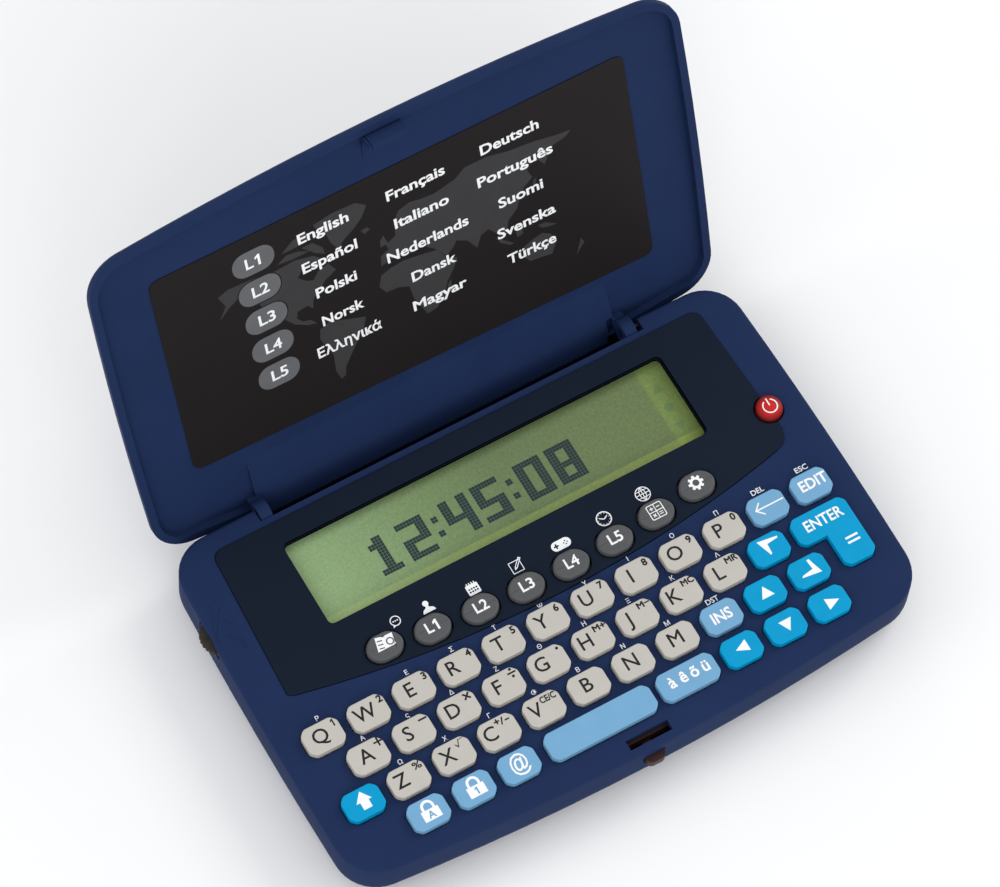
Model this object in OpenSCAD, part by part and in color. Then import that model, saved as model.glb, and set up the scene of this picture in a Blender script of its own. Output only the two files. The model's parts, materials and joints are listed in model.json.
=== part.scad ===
// Handheld translator: a pocket keyboard computer with a lid on two hinge arms.
// Millimetres. Origin in the middle of the underside, +X along the key rows,
// +Y towards the hinge, +Z up. The lid is drawn closed and turned open last.

/* [Case] */
// widest part of the case, at the middle of its sides
body_w = 122.3; // [119:0.1:126]
// front edge of the case at its middle, measured from the origin
front_y = 39.4; // [38.8:0.1:41]
// radius of the slightly bowed front edge
front_bow = 530; // [400:10:900]
// radius of the slightly bowed sides
side_bow = 930; // [700:10:1500]
// height of the deck above the table
deck_z = 12.5; // [12.4:0.1:13]
// height of the joint between the upper and lower case
split_z = 5; // [4.8:0.1:5.4]
// wall thickness of both case halves
wall = 1.8; // [1.5:0.1:2]
// thickness of the deck
deck_t = 1.5; // [1.4:0.1:1.6]

/* [Lid] */
// how far the lid stands open from closed
lid_angle = 110.53; // [0:0.5:118]
// height of the closed lid's top
lid_top = 16.6; // [16.2:0.1:18]
// height of the tray floor inside the closed lid
lid_floor = 14.25; // [14.2:0.05:14.5]
// width of the flat rim round the tray
rim_w = 1.6; // [1.2:0.1:2.2]

/* [Keys] */
// distance from one key to the next along a row
key_pitch = 9.5; // [9.4:0.05:9.6]
// width of a letter key
key_w = 7.6; // [7:0.1:7.8]
// depth of a letter key, front to back
key_d = 5.75; // [5.2:0.05:5.9]
// length of the cut across each key corner
key_cut = 1.3; // [0.8:0.1:1.8]
// height of the key tops above the table
key_top = 13.8; // [13.4:0.1:13.9]
// gap between a key and its opening
key_gap = 0.3; // [0.25:0.05:0.4]

/* [Screen] */
// width of the screen window
window_w = 81; // [76:0.5:82]
// depth of the screen window, front to back
window_d = 18; // [16:0.5:18.5]
// height of the screen surface
screen_z = 10.4; // [10:0.1:10.6]

/* [Hinge] */
// distance of the hinge axis behind the origin
hinge_y = 37.22; // [37:0.01:37.4]
// height of the hinge axis
hinge_z = 10.26; // [10.1:0.01:10.4]
// radius of the round end of each hinge arm
knuckle_r = 2.8; // [2.5:0.05:2.85]
// radius of the hinge pins
pin_r = 0.8; // [0.6:0.05:0.9]

/* [Hidden] */
$fn = 48;
case_blue = [0.14, 0.2, 0.35];
panel_navy = [0.08, 0.11, 0.17];
key_grey = [0.76, 0.74, 0.72];
key_pale = [0.47, 0.67, 0.84];
key_sky = [0.1, 0.62, 0.83];
oval_grey = [0.33, 0.34, 0.35];
steel = [0.7, 0.71, 0.73];

// the outline is a chain of arcs, each tangent to the next
side_y = -8;
front_corner_r = 8.5;
back_corner_r = 8;
base_back = [38.1, 4000];
lid_back = [41, 452];
deck_round = 0.8;
belly_in = 5.5;
deck_low = deck_z - deck_t;
rim_z = deck_z + 0.1;

// rear notch, the solid wall round it, the hinge arms, and the barrel that joins them
notch_y = 35.3;
notch_x = [-41.2, 41.7];
rear_wall_x = [-46, 46];
rear_wall_y = 32.4;
arm_x = [[-40.9, -38.5], [38, 40.4]];
barrel_x = [-38.7, 36.7];
pin_x = [[-43.9, -38.7], [38.2, 44.4]];
pocket_r = knuckle_r + 0.3;
pin_play = 0.05;
arm_front = 1.7;
arm_back = 39.2;
fold_y = 26.7;
flap_x = [-39.1, 38.3];

// keys: the rows are staggered, and each row starts at row_x
row_x = [-52.4, -47.1, -52.4, -43];
row_y = [-8.5, -15.9, -23.3, -30.7];
short_row = [0, 1, 2, 7, 8, 9];
key_bevel = 0.35;
key_soft = 1.1;
key_lip = 0.5;
lip_top = deck_low - 0.1;
lip_low = lip_top - 0.85;
stem_low = lip_low - 0.25;
stem_r = 1.5;
web_t = 0.5;
space_x = -6.75;
space_w = 22.5;
accent_x = 11.9;
accent_w = 12.1;
enter_x = [44, 49.3, 56.1];
enter_y = [-12.9, -18.8, -26.1];
enter_stem = [52.7, -16.5];
oval_pos = [[-33.7, 1.7], [-24.2, 0.6], [-14.5, -0.2], [-4.9, -0.6],
            [4.7, -0.6], [14.3, -0.3], [23.8, 0.6], [33.4, 1.9]];
oval_w = 7.3;
oval_d = 5.4;
power_pos = [53.7, 9.1];
power_r = 2.65;
power_dome_r = 7;

// display panel and screen
panel_top = deck_z + 0.3;
panel_low = deck_z - 0.6;
panel_bow = 238;
panel_front = -4.4;
panel_side = [53.9, 2.1];
panel_back = [[-52.3, 33.7], [52.5, 33.7]];
window_x = 0.3;
window_y = 19.5;
window_step = 0.8;
glass_t = 1.5;
glass_x = [window_x - 42.2, window_x + 42.2];
glass_y = [window_y - 10.4, window_y + 10.6];

// inside
board_low = 6.5;
board_top = 8.1;
board_in = 3.2;
board_back = 31.8;
mat_top = 8.5;
mat_x = [-56.8, 57.2];
mat_y = [-35.2, 5.6];
pad_top = 8.95;
pad_r = 2;
floor_t = 1.55;
case_screw_pos = [[-51.5, -29.5], [51.5, -29.5], [-52.5, 28], [52.5, 28]];
board_screw_pos = [[-47.3, 12], [47.3, 12], [-55, -15.9]];
boss_r = 2.5;
boss_gap = 0.4;
boss_low = 4.2;
board_post_r = 2;
case_thread_r = 1;
board_thread_r = 0.8;
screw_head_r = 1.9;
screw_head_z = [1.2, 2.4];
bay_x = 27;
bay_y = [9.2, 33];
cell_x = 10.6;
cell_y = 22;
cell_r = 10;
cell_z = [1.7, 4.9];
door_x = 24;
door_y = 10.35;
door_z = [0.2, 1.4];
door_gap = 0.15;
rail_w = 1.2;
rail_z = 0.8;
wheel_pos = [-57.9, 19.3];
wheel_r = 4.5;
wheel_z = [9.7, 11.2];
wheel_gap = 0.35;
spindle_r = 0.95;
scallop_pos = [-69.6, 19.2];
scallop_r = 9;
beeper_pos = [-38, -4];
beeper_r = 6.5;

// printed card in the lid
card_corners = [[-49.2, -26.3], [49.2, -26.3], [49.2, 25.1], [-49.2, 22.8]];
card_t = 0.2;

// latch: slot in the deck, hooked lug on the lid, sprung slider under the deck
slot_x = [-4.4, 4.5];
slot_y = [-37.8, -35.7];
lug_x = [-3.6, 3.7];
lug_y = [-37.35, -36.45];
lug_low = 9.9;
barb_y = -35.95;
barb_t = 0.45;
rib_x = [-4.15, -3.75];
rib_end = -29.8;
rib_knee = [-33.95, 13.95];
slider_x = [-6, 5];
slider_y = [-36.3, -35.2];
slider_z = [8, 9.2];
hook_z = [10.45, 10.85];
hook_post = -35.75;
leg_y = -35.1;
leg_low = 3.9;
button_x = [-2.1, 1.9];
button_y = -40.9;
button_z = [7.6, 9.5];
button_round = 1.2;
button_gap = 0.25;
stop_y = [-31.4, -30.4];
stop_x = [-3, 3];
bay_cut_x = [-7.5, 7];
bay_cut_y = -33.4;
coil_pos = [-0.5, 5.1];
coil_r = 1.1;
coil_wire = 0.15;
coil_turns = 4.5;

// ---- outline of the case and lid ----

// point where circles round a and b, with radii ra and rb, meet on the right of a to b
function circles_meet(a, ra, b, rb) =
    let (gap = norm(b - a), u = (b - a) / gap,
         along = (ra * ra - rb * rb + gap * gap) / (2 * gap),
         off = sqrt(ra * ra - along * along))
    a + along * u + off * [u[1], -u[0]];

function heading(from, to) = atan2(to[1] - from[1], to[0] - from[0]);

function arc(c, r, a0, a1, steps, skip) =
    [for (i = [skip:steps]) let (a = a0 + (a1 - a0) * i / steps) c + r * [cos(a), sin(a)]];

// right half of the outline, drawn inwards by d, then its mirror image
function outline(back, d) =
    let (front_c = [0, front_bow - front_y],
         side_c = [body_w / 2 - side_bow, side_y],
         back_c = [0, back[0] - back[1]],
         fc = circles_meet(side_c, side_bow - front_corner_r, front_c,
                           front_bow - front_corner_r),
         bc = circles_meet(back_c, back[1] - back_corner_r, side_c, side_bow - back_corner_r),
         a1 = heading(front_c, fc), a2 = heading(side_c, fc),
         a3 = heading(side_c, bc), a4 = heading(back_c, bc),
         half = concat(arc(front_c, front_bow - d, -90, a1, 6, 0),
                       arc(fc, front_corner_r - d, a1, a2, 9, 1),
                       arc(side_c, side_bow - d, a2, a3, 6, 1),
                       arc(bc, back_corner_r - d, a3, a4, 9, 1),
                       arc(back_c, back[1] - d, a4, 90, 6, 1)))
    concat(half, [for (i = [len(half) - 2:-1:1]) [-half[i][0], half[i][1]]]);

// solid through a stack of outlines: each ring is [height, inset]
module loft(back, rings) {
    n = len(outline(back, 0));
    top = (len(rings) - 1) * n;
    polyhedron(
        points = [for (r = rings) for (p = outline(back, r[1])) [p[0], p[1], r[0]]],
        faces = concat(
            [[for (i = [0:n - 1]) i]],
            [[for (i = [n - 1:-1:0]) top + i]],
            [for (k = [0:len(rings) - 2]) for (i = [0:n - 1])
                [k * n + i, (k + 1) * n + i, (k + 1) * n + (i + 1) % n, k * n + (i + 1) % n]]));
}

function belly(z) = belly_in * (1 - sqrt(1 - pow((split_z - z) / split_z, 2)));

module block(x, y, z) {
    translate([x[0], y[0], z[0]]) cube([x[1] - x[0], y[1] - y[0], z[1] - z[0]]);
}

module post(pos, r, z) {
    translate([pos[0], pos[1], z[0]]) cylinder(r = r, h = z[1] - z[0]);
}

// a flat shape made solid between two heights
module upright(z) {
    translate([0, 0, z[0]]) linear_extrude(z[1] - z[0]) children();
}

module plate(corners, z) {
    upright(z) polygon(corners);
}

// arc that rounds the corner p between its neighbours a and b
function rounded(a, p, b, r, steps = 5) =
    let (u = (a - p) / norm(a - p), v = (b - p) / norm(b - p), half = acos(u * v) / 2,
         mid = (u + v) / norm(u + v), c = p + mid * r / sin(half),
         s = p + u * r / tan(half), e = p + v * r / tan(half),
         a0 = heading(c, s), turn = heading(c, e) - a0,
         sweep = turn > 180 ? turn - 360 : turn < -180 ? turn + 360 : turn)
    arc(c, r, a0, a0 + sweep, steps, 0);

function round_all(p, r, steps = 5) =
    [for (i = [0:len(p) - 1])
        each rounded(p[(i + len(p) - 1) % len(p)], p[i], p[(i + 1) % len(p)], r, steps)];

function box_corners(x, y) = [[x[0], y[0]], [x[1], y[0]], [x[1], y[1]], [x[0], y[1]]];

// ---- key shapes ----

function octagon(w, d, cut) =
    [[cut - w / 2, -d / 2], [w / 2 - cut, -d / 2], [w / 2, cut - d / 2], [w / 2, d / 2 - cut],
     [w / 2 - cut, d / 2], [cut - w / 2, d / 2], [-w / 2, d / 2 - cut], [-w / 2, cut - d / 2]];

// a key's outline moved out by grow; its eight corners are softened
function key_corners(w, d, grow) =
    round_all(octagon(w + 2 * grow, d + 2 * grow, key_cut + 0.586 * grow), key_soft + grow, 2);

// L-shaped face: wide at the back, its right part reaching forward
function enter_corners(grow) =
    let (x = [enter_x[0] - grow, enter_x[1] - grow, enter_x[2] + grow],
         y = [enter_y[0] + grow, enter_y[1] - grow, enter_y[2] - grow],
         c = key_cut + 0.586 * grow,
         outer = [[x[1], y[1]], [x[1], y[2] + c], [x[1] + c, y[2]], [x[2] - c, y[2]],
                  [x[2], y[2] + c], [x[2], y[0] - c], [x[2] - c, y[0]], [x[0] + c, y[0]],
                  [x[0], y[0] - c], [x[0], y[1] + c], [x[0] + c, y[1]]],
         n = len(outer))
    concat([outer[0]], [for (i = [1:n - 1])
        each rounded(outer[i - 1], outer[i], outer[(i + 1) % n], key_soft + grow, 2)]);

// slab whose corners are drawn in from low at its foot to high at its top
module bevelled(low, high, z) {
    n = len(low);
    polyhedron(
        points = concat([for (p = low) [p[0], p[1], z[0]]], [for (p = high) [p[0], p[1], z[1]]]),
        faces = concat([[for (i = [0:n - 1]) i]], [[for (i = [n - 1:-1:0]) n + i]],
                       [for (i = [0:n - 1]) [i, n + i, n + (i + 1) % n, (i + 1) % n]]));
}

module oval_face(grow) {
    r = oval_d / 2 + grow;
    far = (oval_w - oval_d) / 2;
    for (s = [-1, 1]) translate([s * far, 0]) circle(r);
    square([2 * far, 2 * r], center = true);
}

module key_stem() {
    post([0, 0], stem_r, [stem_low, lip_low + web_t]);
}

// hard keycap: bevelled top, straight sides, lip that holds it under the deck
module keycap_shape(face, lip, top) {
    plate(lip, [lip_low, lip_top]);
    plate(face, [lip_low, key_top - key_bevel]);
    bevelled(face, top, [key_top - key_bevel, key_top]);
}

module keycap(w = key_w, d = key_d) {
    keycap_shape(key_corners(w, d, 0), key_corners(w, d, key_lip), key_corners(w, d, -key_bevel));
    key_stem();
}

function key_x(row, i) = row_x[row] + i * key_pitch;

module at_key(row, i) {
    translate([key_x(row, i), row_y[row], 0]) children();
}

// two neighbouring letter keys moulded on one web, which runs under the deck
module key_pair(row, i) {
    color(key_grey) union() {
        for (k = [i, i + 1]) at_key(row, k) keycap();
        block([key_x(row, i), key_x(row, i + 1)], [row_y[row] - stem_r, row_y[row] + stem_r],
              [lip_low, lip_low + web_t]);
    }
}

module letter_key(row, i) {
    color(key_grey) at_key(row, i) keycap();
}

module command_key(row, i, shade) {
    color(shade) at_key(row, i) keycap();
}

module oval_key(i) {
    color(oval_grey) translate([oval_pos[i][0], oval_pos[i][1], 0]) {
        upright([lip_low, lip_top]) oval_face(key_lip);
        upright([lip_low, key_top - key_bevel]) oval_face(0);
        upright([key_top - key_bevel, key_top]) oval_face(-key_bevel);
        key_stem();
    }
}

// the deck openings of every key, from low to above the panel
module key_openings(low) {
    cap = key_corners(key_w, key_d, key_gap);
    upright([low, panel_top + 1]) {
        for (i = [0:11]) translate([key_x(0, i), row_y[0]]) polygon(cap);
        for (i = [0:9]) translate([key_x(1, i), row_y[1]]) polygon(cap);
        for (i = [0:10]) translate([key_x(2, i), row_y[2]]) polygon(cap);
        for (i = short_row) translate([key_x(3, i), row_y[3]]) polygon(cap);
        translate([space_x, row_y[3]]) polygon(key_corners(space_w, key_d, key_gap));
        translate([accent_x, row_y[3]]) polygon(key_corners(accent_w, key_d, key_gap));
        polygon(enter_corners(key_gap));
        for (p = oval_pos) translate(p) oval_face(key_gap);
        translate(power_pos) circle(power_r + key_gap);
    }
}

// ---- display panel outline ----

// top edge straight, sides spreading forwards, front edge a shallow arc
function panel_corners(grow) =
    let (far = asin((panel_side[0] - 1.3) / panel_bow),
         front = arc([0, panel_front + panel_bow], panel_bow + grow, -90 - far, -90 + far, 16, 0),
         left = [-panel_side[0] - grow, panel_side[1]], right = [panel_side[0] + grow, panel_side[1]],
         tl = panel_back[0] + [-grow, grow], tr = panel_back[1] + [grow, grow])
    concat(front, rounded(front[16], right, tr, 0.6), rounded(right, tr, tl, 2),
           rounded(tr, tl, left, 2), rounded(tl, left, front[0], 0.6));

function window_corners(grow) =
    round_all(box_corners([window_x - window_w / 2 - grow, window_x + window_w / 2 + grow],
                          [window_y - window_d / 2 - grow, window_y + window_d / 2 + grow]), 1);

// ---- case ----

// scallop in the left side that gives the thumb a hold on the wheel
module thumb_scallop() {
    post(scallop_pos, scallop_r, [-1, deck_z + 1]);
}

// rear notch that the lid's back flap swings down into
module rear_notch() {
    block(notch_x, [notch_y, 50], [-1, deck_z + 1]);
}

module along_x(x, r) {
    translate([x[0], hinge_y, hinge_z]) rotate([0, 90, 0]) cylinder(r = r, h = x[1] - x[0]);
}

module upper_case() {
    top_inset = 0.134 * deck_round;
    color(case_blue) difference() {
        union() {
            difference() {
                loft(base_back, [[split_z, 0], [deck_z - deck_round, 0],
                                 [deck_z - deck_round / 2, top_inset],
                                 [deck_z - top_inset, deck_round / 2], [deck_z, deck_round]]);
                difference() {
                    loft(base_back, [[split_z - 1, wall], [deck_low, wall]]);
                    block(rear_wall_x, [rear_wall_y, 40], [split_z - 2, deck_z]);
                }
            }
            for (p = case_screw_pos) post(p, boss_r, [boss_low, deck_low + 0.5]);
            for (p = board_screw_pos) post(p, board_post_r, [board_top, deck_low + 0.5]);
        }
        rear_notch();
        along_x(notch_x, pocket_r);
        for (x = pin_x) along_x(x, pin_r);
        key_openings(deck_low - 1);
        plate(panel_corners(0.1), [panel_low, deck_z + 1]);
        plate(window_corners(window_step), [deck_low - 1, deck_z + 1]);
        block(slot_x, slot_y, [deck_low - 1, deck_z + 1]);
        block(button_x + [-button_gap, button_gap], [-front_y - 1, -front_y + 3],
              button_z + [-button_gap, button_gap]);
        post(wheel_pos, wheel_r + wheel_gap, wheel_z + [-wheel_gap, 0.3]);
        thumb_scallop();
        for (p = case_screw_pos) post(p, case_thread_r, [boss_low - 1, 10]);
        for (p = board_screw_pos) post(p, board_thread_r, [board_top - 1, 10.6]);
    }
}

// rim inside the lower case that the upper case closes over
module seam_rib() {
    intersection() {
        difference() {
            loft(base_back, [[3.6, wall + 0.1], [5.8, wall + 0.1]]);
            loft(base_back, [[3, wall + 1], [6, wall + 1]]);
        }
        block([-47, 47], [-42, 0], [3, 6]);
    }
}

module lower_case() {
    color(case_blue) difference() {
        union() {
            difference() {
                loft(base_back, [for (z = [0, 0.35, 0.9, 1.7, 2.8, 4, split_z]) [z, belly(z)]]);
                difference() {
                    loft(base_back, [[floor_t, belly(floor_t) + 2.4], [3.2, belly(3.2) + 1.9],
                                     [split_z + 1, wall]]);
                    block(rear_wall_x, [rear_wall_y, 40], [0, split_z + 2]);
                }
            }
            block([-bay_x, bay_x], bay_y, [0.1, 5]);
            seam_rib();
            for (p = case_screw_pos) post(p, boss_r + boss_gap, [0.6, boss_low - 0.1]);
            difference() {
                post(beeper_pos, beeper_r + 1, [1, 3]);
                post(beeper_pos, beeper_r + 0.2, [0.9, 4]);
            }
            block(stop_x, stop_y, [1, 6.3]);
        }
        rear_notch();
        thumb_scallop();
        for (s = [-1, 1]) post([s * cell_x, cell_y], cell_r + 0.2, [1, 6]);
        block([-door_x - door_gap, door_x + door_gap], [door_y - door_gap, 50],
              [-1, door_z[1] + door_gap]);
        block([-door_x - rail_w - door_gap, door_x + rail_w + door_gap],
              [door_y - door_gap, 50], [rail_z - door_gap, door_z[1] + door_gap]);
        for (p = case_screw_pos) {
            post(p, screw_head_r + 0.3, [-1, screw_head_z[1]]);
            post(p, case_thread_r + 0.15, [2, 5]);
        }
        for (k = [-1:1]) post(beeper_pos + [3 * k, 0], 0.6, [-1, 3]);
    }
}

module display_panel() {
    color(panel_navy) difference() {
        plate(panel_corners(0), [panel_low, panel_top]);
        plate(window_corners(0), [panel_low - 1, panel_top + 1]);
        for (p = oval_pos) translate(p) upright([panel_low - 1, panel_top + 1]) oval_face(key_gap);
        post(power_pos, power_r + key_gap, [panel_low - 1, panel_top + 1]);
    }
}

// ---- screen and electronics ----

module lcd_glass() {
    color([0.48, 0.56, 0.42]) block(glass_x, glass_y, [screen_z - glass_t, screen_z]);
}

module lcd_frame() {
    color([0.12, 0.13, 0.15]) difference() {
        block(glass_x + [-1.8, 1.8], glass_y + [-1.8, 1.6], [board_top, deck_low - 0.1]);
        block(glass_x + [-0.1, 0.1], glass_y + [-0.1, 0.1], [screen_z - glass_t, deck_z]);
        block(glass_x + [0.8, -0.8], glass_y + [0.4, -2], [board_top - 1, deck_z]);
    }
}

module lcd_connector() {
    color([0.75, 0.45, 0.5])
        block(glass_x + [1.2, -1.2], [glass_y[0] + 0.7, glass_y[0] + 2.7],
              [board_top, screen_z - glass_t]);
}

// board with its processor, memory chip and a row of small parts underneath
module main_board() {
    color([0.1, 0.35, 0.2]) difference() {
        union() {
            intersection() {
                plate(outline(base_back, board_in), [board_low, board_top]);
                block([-70, 70], [-50, board_back], [board_low - 1, board_top + 1]);
            }
            block([24, 36], [-12, 0], [board_low - 0.9, board_low + 0.1]);
            block([-20, -12], [-22, -10], [board_low - 1.2, board_low + 0.1]);
            for (k = [0:5]) block([2 + 3 * k, 3.2 + 3 * k], [-24, -23.4],
                                  [board_low - 0.5, board_low + 0.1]);
        }
        for (p = case_screw_pos) post(p, boss_r + boss_gap, [0, 12]);
        for (p = board_screw_pos) post(p, board_thread_r + 0.1, [0, 12]);
        block(bay_cut_x, [-45, bay_cut_y], [0, 12]);
    }
}

// cross-headed screw: thread, head, and a cross cut in the head's underside
module screw(pos, thread_r, head_r, z) {
    slot = 0.63 * head_r;
    post(pos, thread_r, [z[1] - 0.1, z[2]]);
    difference() {
        post(pos, head_r, [z[0], z[1]]);
        for (d = [[slot, 0.12 * head_r], [0.12 * head_r, slot]])
            block([pos[0] - d[0], pos[0] + d[0]], [pos[1] - d[1], pos[1] + d[1]],
                  [z[0] - 1, (z[0] + z[1]) / 2]);
    }
}

module board_screws() {
    color(steel) for (p = board_screw_pos)
        screw(p, board_thread_r - 0.05, 1.5, [board_low - 1, board_low, 10.2]);
}

module case_screws() {
    color(steel) for (p = case_screw_pos)
        screw(p, case_thread_r - 0.05, screw_head_r, [screw_head_z[0], screw_head_z[1], 9]);
}

// rubber sheet with one round contact pad under each key
module keypad_mat() {
    pads = concat([for (i = [0:11]) [key_x(0, i), row_y[0]]],
                  [for (i = [0:9]) [key_x(1, i), row_y[1]]],
                  [for (i = [0:10]) [key_x(2, i), row_y[2]]],
                  [for (i = short_row) [key_x(3, i), row_y[3]]],
                  [[space_x, row_y[3]], [accent_x, row_y[3]], enter_stem], oval_pos);
    color([0.6, 0.62, 0.62]) difference() {
        union() {
            intersection() {
                plate(outline(base_back, board_in), [board_top, mat_top]);
                block(mat_x, mat_y, [board_top - 1, mat_top + 1]);
            }
            for (p = pads) post(p, pad_r, [mat_top - 0.1, pad_top]);
        }
        for (p = case_screw_pos) post(p, boss_r + boss_gap, [0, 12]);
        for (p = board_screw_pos) post(p, board_post_r + 0.3, [0, 12]);
        block(bay_cut_x, [-45, bay_cut_y], [0, 12]);
    }
}

module buzzer() {
    color([0.8, 0.65, 0.3]) union() {
        post(beeper_pos, beeper_r, [floor_t + 0.1, floor_t + 0.4]);
        post(beeper_pos, beeper_r - 2, [floor_t + 0.3, floor_t + 0.7]);
    }
}

// fixed part of the contrast control, with the pin that the wheel turns on
module wheel_spindle() {
    color([0.15, 0.15, 0.16]) union() {
        block([wheel_pos[0] - 0.8, wheel_pos[0] + 4.6],
              [wheel_pos[1] - 2.5, wheel_pos[1] + 2.5], [board_top, wheel_z[0] - 0.5]);
        post(wheel_pos, spindle_r, [board_top + 0.2, wheel_z[1] + 0.1]);
    }
}

module contrast_wheel() {
    bore = spindle_r + 0.06;
    rib_gap = 12;
    color([0.08, 0.08, 0.08]) translate([wheel_pos[0], wheel_pos[1], 0]) difference() {
        rotate_extrude()
            polygon([[bore, wheel_z[0]], [wheel_r - 0.7, wheel_z[0]], [wheel_r, wheel_z[0] + 0.6],
                     [wheel_r, wheel_z[1] - 0.1], [wheel_r - 0.15, wheel_z[1]], [bore, wheel_z[1]]]);
        for (a = [0:rib_gap:359]) rotate([0, 0, a])
            block([wheel_r - 0.25, wheel_r + 1], [-0.2, 0.2], wheel_z + [-1, 1]);
    }
}

// two button cells, the smaller lower electrode facing the floor
module coin_cells() {
    color(steel) for (s = [-1, 1]) {
        post([s * cell_x, cell_y], cell_r, [cell_z[0] + 0.3, cell_z[1]]);
        post([s * cell_x, cell_y], cell_r - 1.2, [cell_z[0], cell_z[0] + 0.4]);
    }
}

// spring leaves over the cells, each with a leg that rises to the board
module battery_contacts() {
    leaf = cell_z[1] + 0.15;
    color([0.82, 0.78, 0.6]) for (s = [-1, 1]) union() {
        post([s * cell_x, cell_y], 4, [leaf, leaf + 0.25]);
        block([s * cell_x - 1.5, s * cell_x + 1.5], [cell_y, cell_y + 9.5], [leaf, leaf + 0.25]);
        block([s * cell_x - 1.5, s * cell_x + 1.5], [cell_y + 9, cell_y + 9.5],
              [leaf, board_low]);
    }
}

// door in the underside, which slides out to the rear on two rails
module battery_door() {
    color(case_blue) difference() {
        union() {
            intersection() {
                loft(base_back, [for (z = [0, 0.35, 0.9, 1.7, 2.8]) [z, belly(z)]]);
                block([-door_x, door_x], [door_y, notch_y], door_z);
            }
            block([-door_x - rail_w, door_x + rail_w], [door_y + 0.2, 30], [rail_z, door_z[1]]);
        }
        for (k = [0:4]) block([-6, 6], [24 + 1.6 * k, 24.7 + 1.6 * k], [-1, door_z[0] + 0.3]);
    }
}

// ---- latch ----

// slider: a button through the front wall, a hook over the lug's barb, a leg for the spring
module latch_button() {
    color([0.26, 0.13, 0.13]) union() {
        plate(round_all(box_corners(button_x, [button_y, 1.6 - front_y]), button_round), button_z);
        block(button_x + [1, -1], [-front_y, slider_y[0] + 0.2], button_z + [0.2, -0.4]);
        block(slider_x, slider_y, slider_z);
        block(slider_x, [hook_post, slider_y[1]], [slider_z[0], hook_z[1]]);
        block(slider_x, [slider_y[0], slider_y[1]], hook_z);
        block(slider_x + [1, -1], [slider_y[0], leg_y], [leg_low, slider_z[0] + 0.2]);
    }
}

// coil between the slider's leg and the stop in the lower case
module latch_spring() {
    steps = 14;
    sides = 6;
    count = coil_turns * steps;
    y0 = leg_y + coil_wire;
    pitch = (stop_y[0] - coil_wire - y0) / count;
    rings = [for (i = [0:count]) let (a = 360 * i / steps, out = [cos(a), 0, sin(a)])
        for (k = [0:sides - 1]) let (b = 360 * k / sides)
            [coil_pos[0], y0 + pitch * i, coil_pos[1]] + coil_r * out
            + coil_wire * (cos(b) * out + sin(b) * [0, 1, 0])];
    color(steel) polyhedron(
        points = rings,
        faces = concat(
            [[for (k = [0:sides - 1]) k]],
            [[for (k = [sides - 1:-1:0]) count * sides + k]],
            [for (i = [0:count - 1]) for (k = [0:sides - 1]) let (n = (k + 1) % sides)
                [i * sides + k, (i + 1) * sides + k, (i + 1) * sides + n, i * sides + n]]));
}

// ---- lid, drawn closed and then turned open about the hinge axis ----

module opened() {
    translate([0, hinge_y, hinge_z]) rotate([-lid_angle, 0, 0])
        translate([0, -hinge_y, -hinge_z]) children();
}

// sloped flap between the arms, which covers the rear notch when closed
module back_flap() {
    translate([flap_x[0], 0, 0]) rotate([90, 0, 90]) linear_extrude(flap_x[1] - flap_x[0])
        polygon([[fold_y, lid_floor + 1], [fold_y, lid_floor], [lid_back[0], rim_z],
                 [45, rim_z], [45, lid_floor + 1]]);
}

// shallow tray with a crowned outside
module lid_tray() {
    difference() {
        loft(lid_back, [[rim_z, 0], [rim_z + 1.2, 0], [rim_z + 2, 0.35], [rim_z + 2.7, 1.1],
                        [lid_top - 0.6, 2.3], [lid_top - 0.15, 4], [lid_top, 6]]);
        difference() {
            loft(lid_back, [[rim_z - 1, rim_w], [lid_floor, rim_w]]);
            back_flap();
        }
    }
}

// thin rib at the left end of the lug, which runs down to the tray floor
module lug_rib() {
    translate([rib_x[0], 0, 0]) rotate([90, 0, 90]) linear_extrude(rib_x[1] - rib_x[0])
        polygon([[lug_y[0], lug_low], [lug_y[1], lug_low], [lug_y[1] + 0.2, deck_z + 0.2], rib_knee,
                 [rib_end, lid_floor], [rib_end, lid_floor + 0.3], [lug_y[0], lid_floor + 0.3]]);
}

module lid_shell() {
    color(case_blue) opened() difference() {
        union() {
            lid_tray();
            for (x = arm_x) {
                along_x(x, knuckle_r);
                block(x, [hinge_y - arm_front, arm_back], [hinge_z, lid_floor + 0.3]);
            }
            along_x(barrel_x, knuckle_r);
            block(barrel_x, [hinge_y, arm_back], [hinge_z, lid_floor + 0.3]);
            block(lug_x, lug_y, [lug_low, lid_floor + 0.3]);
            block(lug_x, [lug_y[0] + 0.75, barb_y], [lug_low, lug_low + barb_t]);
            lug_rib();
        }
        for (x = arm_x) along_x(x + [-1, 1], pin_r + pin_play);
    }
}

// printed card, its rear edge not quite square to its sides
module lid_card() {
    color([0.14, 0.12, 0.125]) opened()
        plate(round_all(card_corners, 2), [lid_floor - card_t, lid_floor]);
}

module hinge_pins() {
    color(steel) for (x = pin_x) along_x(x, pin_r);
}

// ---- keys ----

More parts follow.
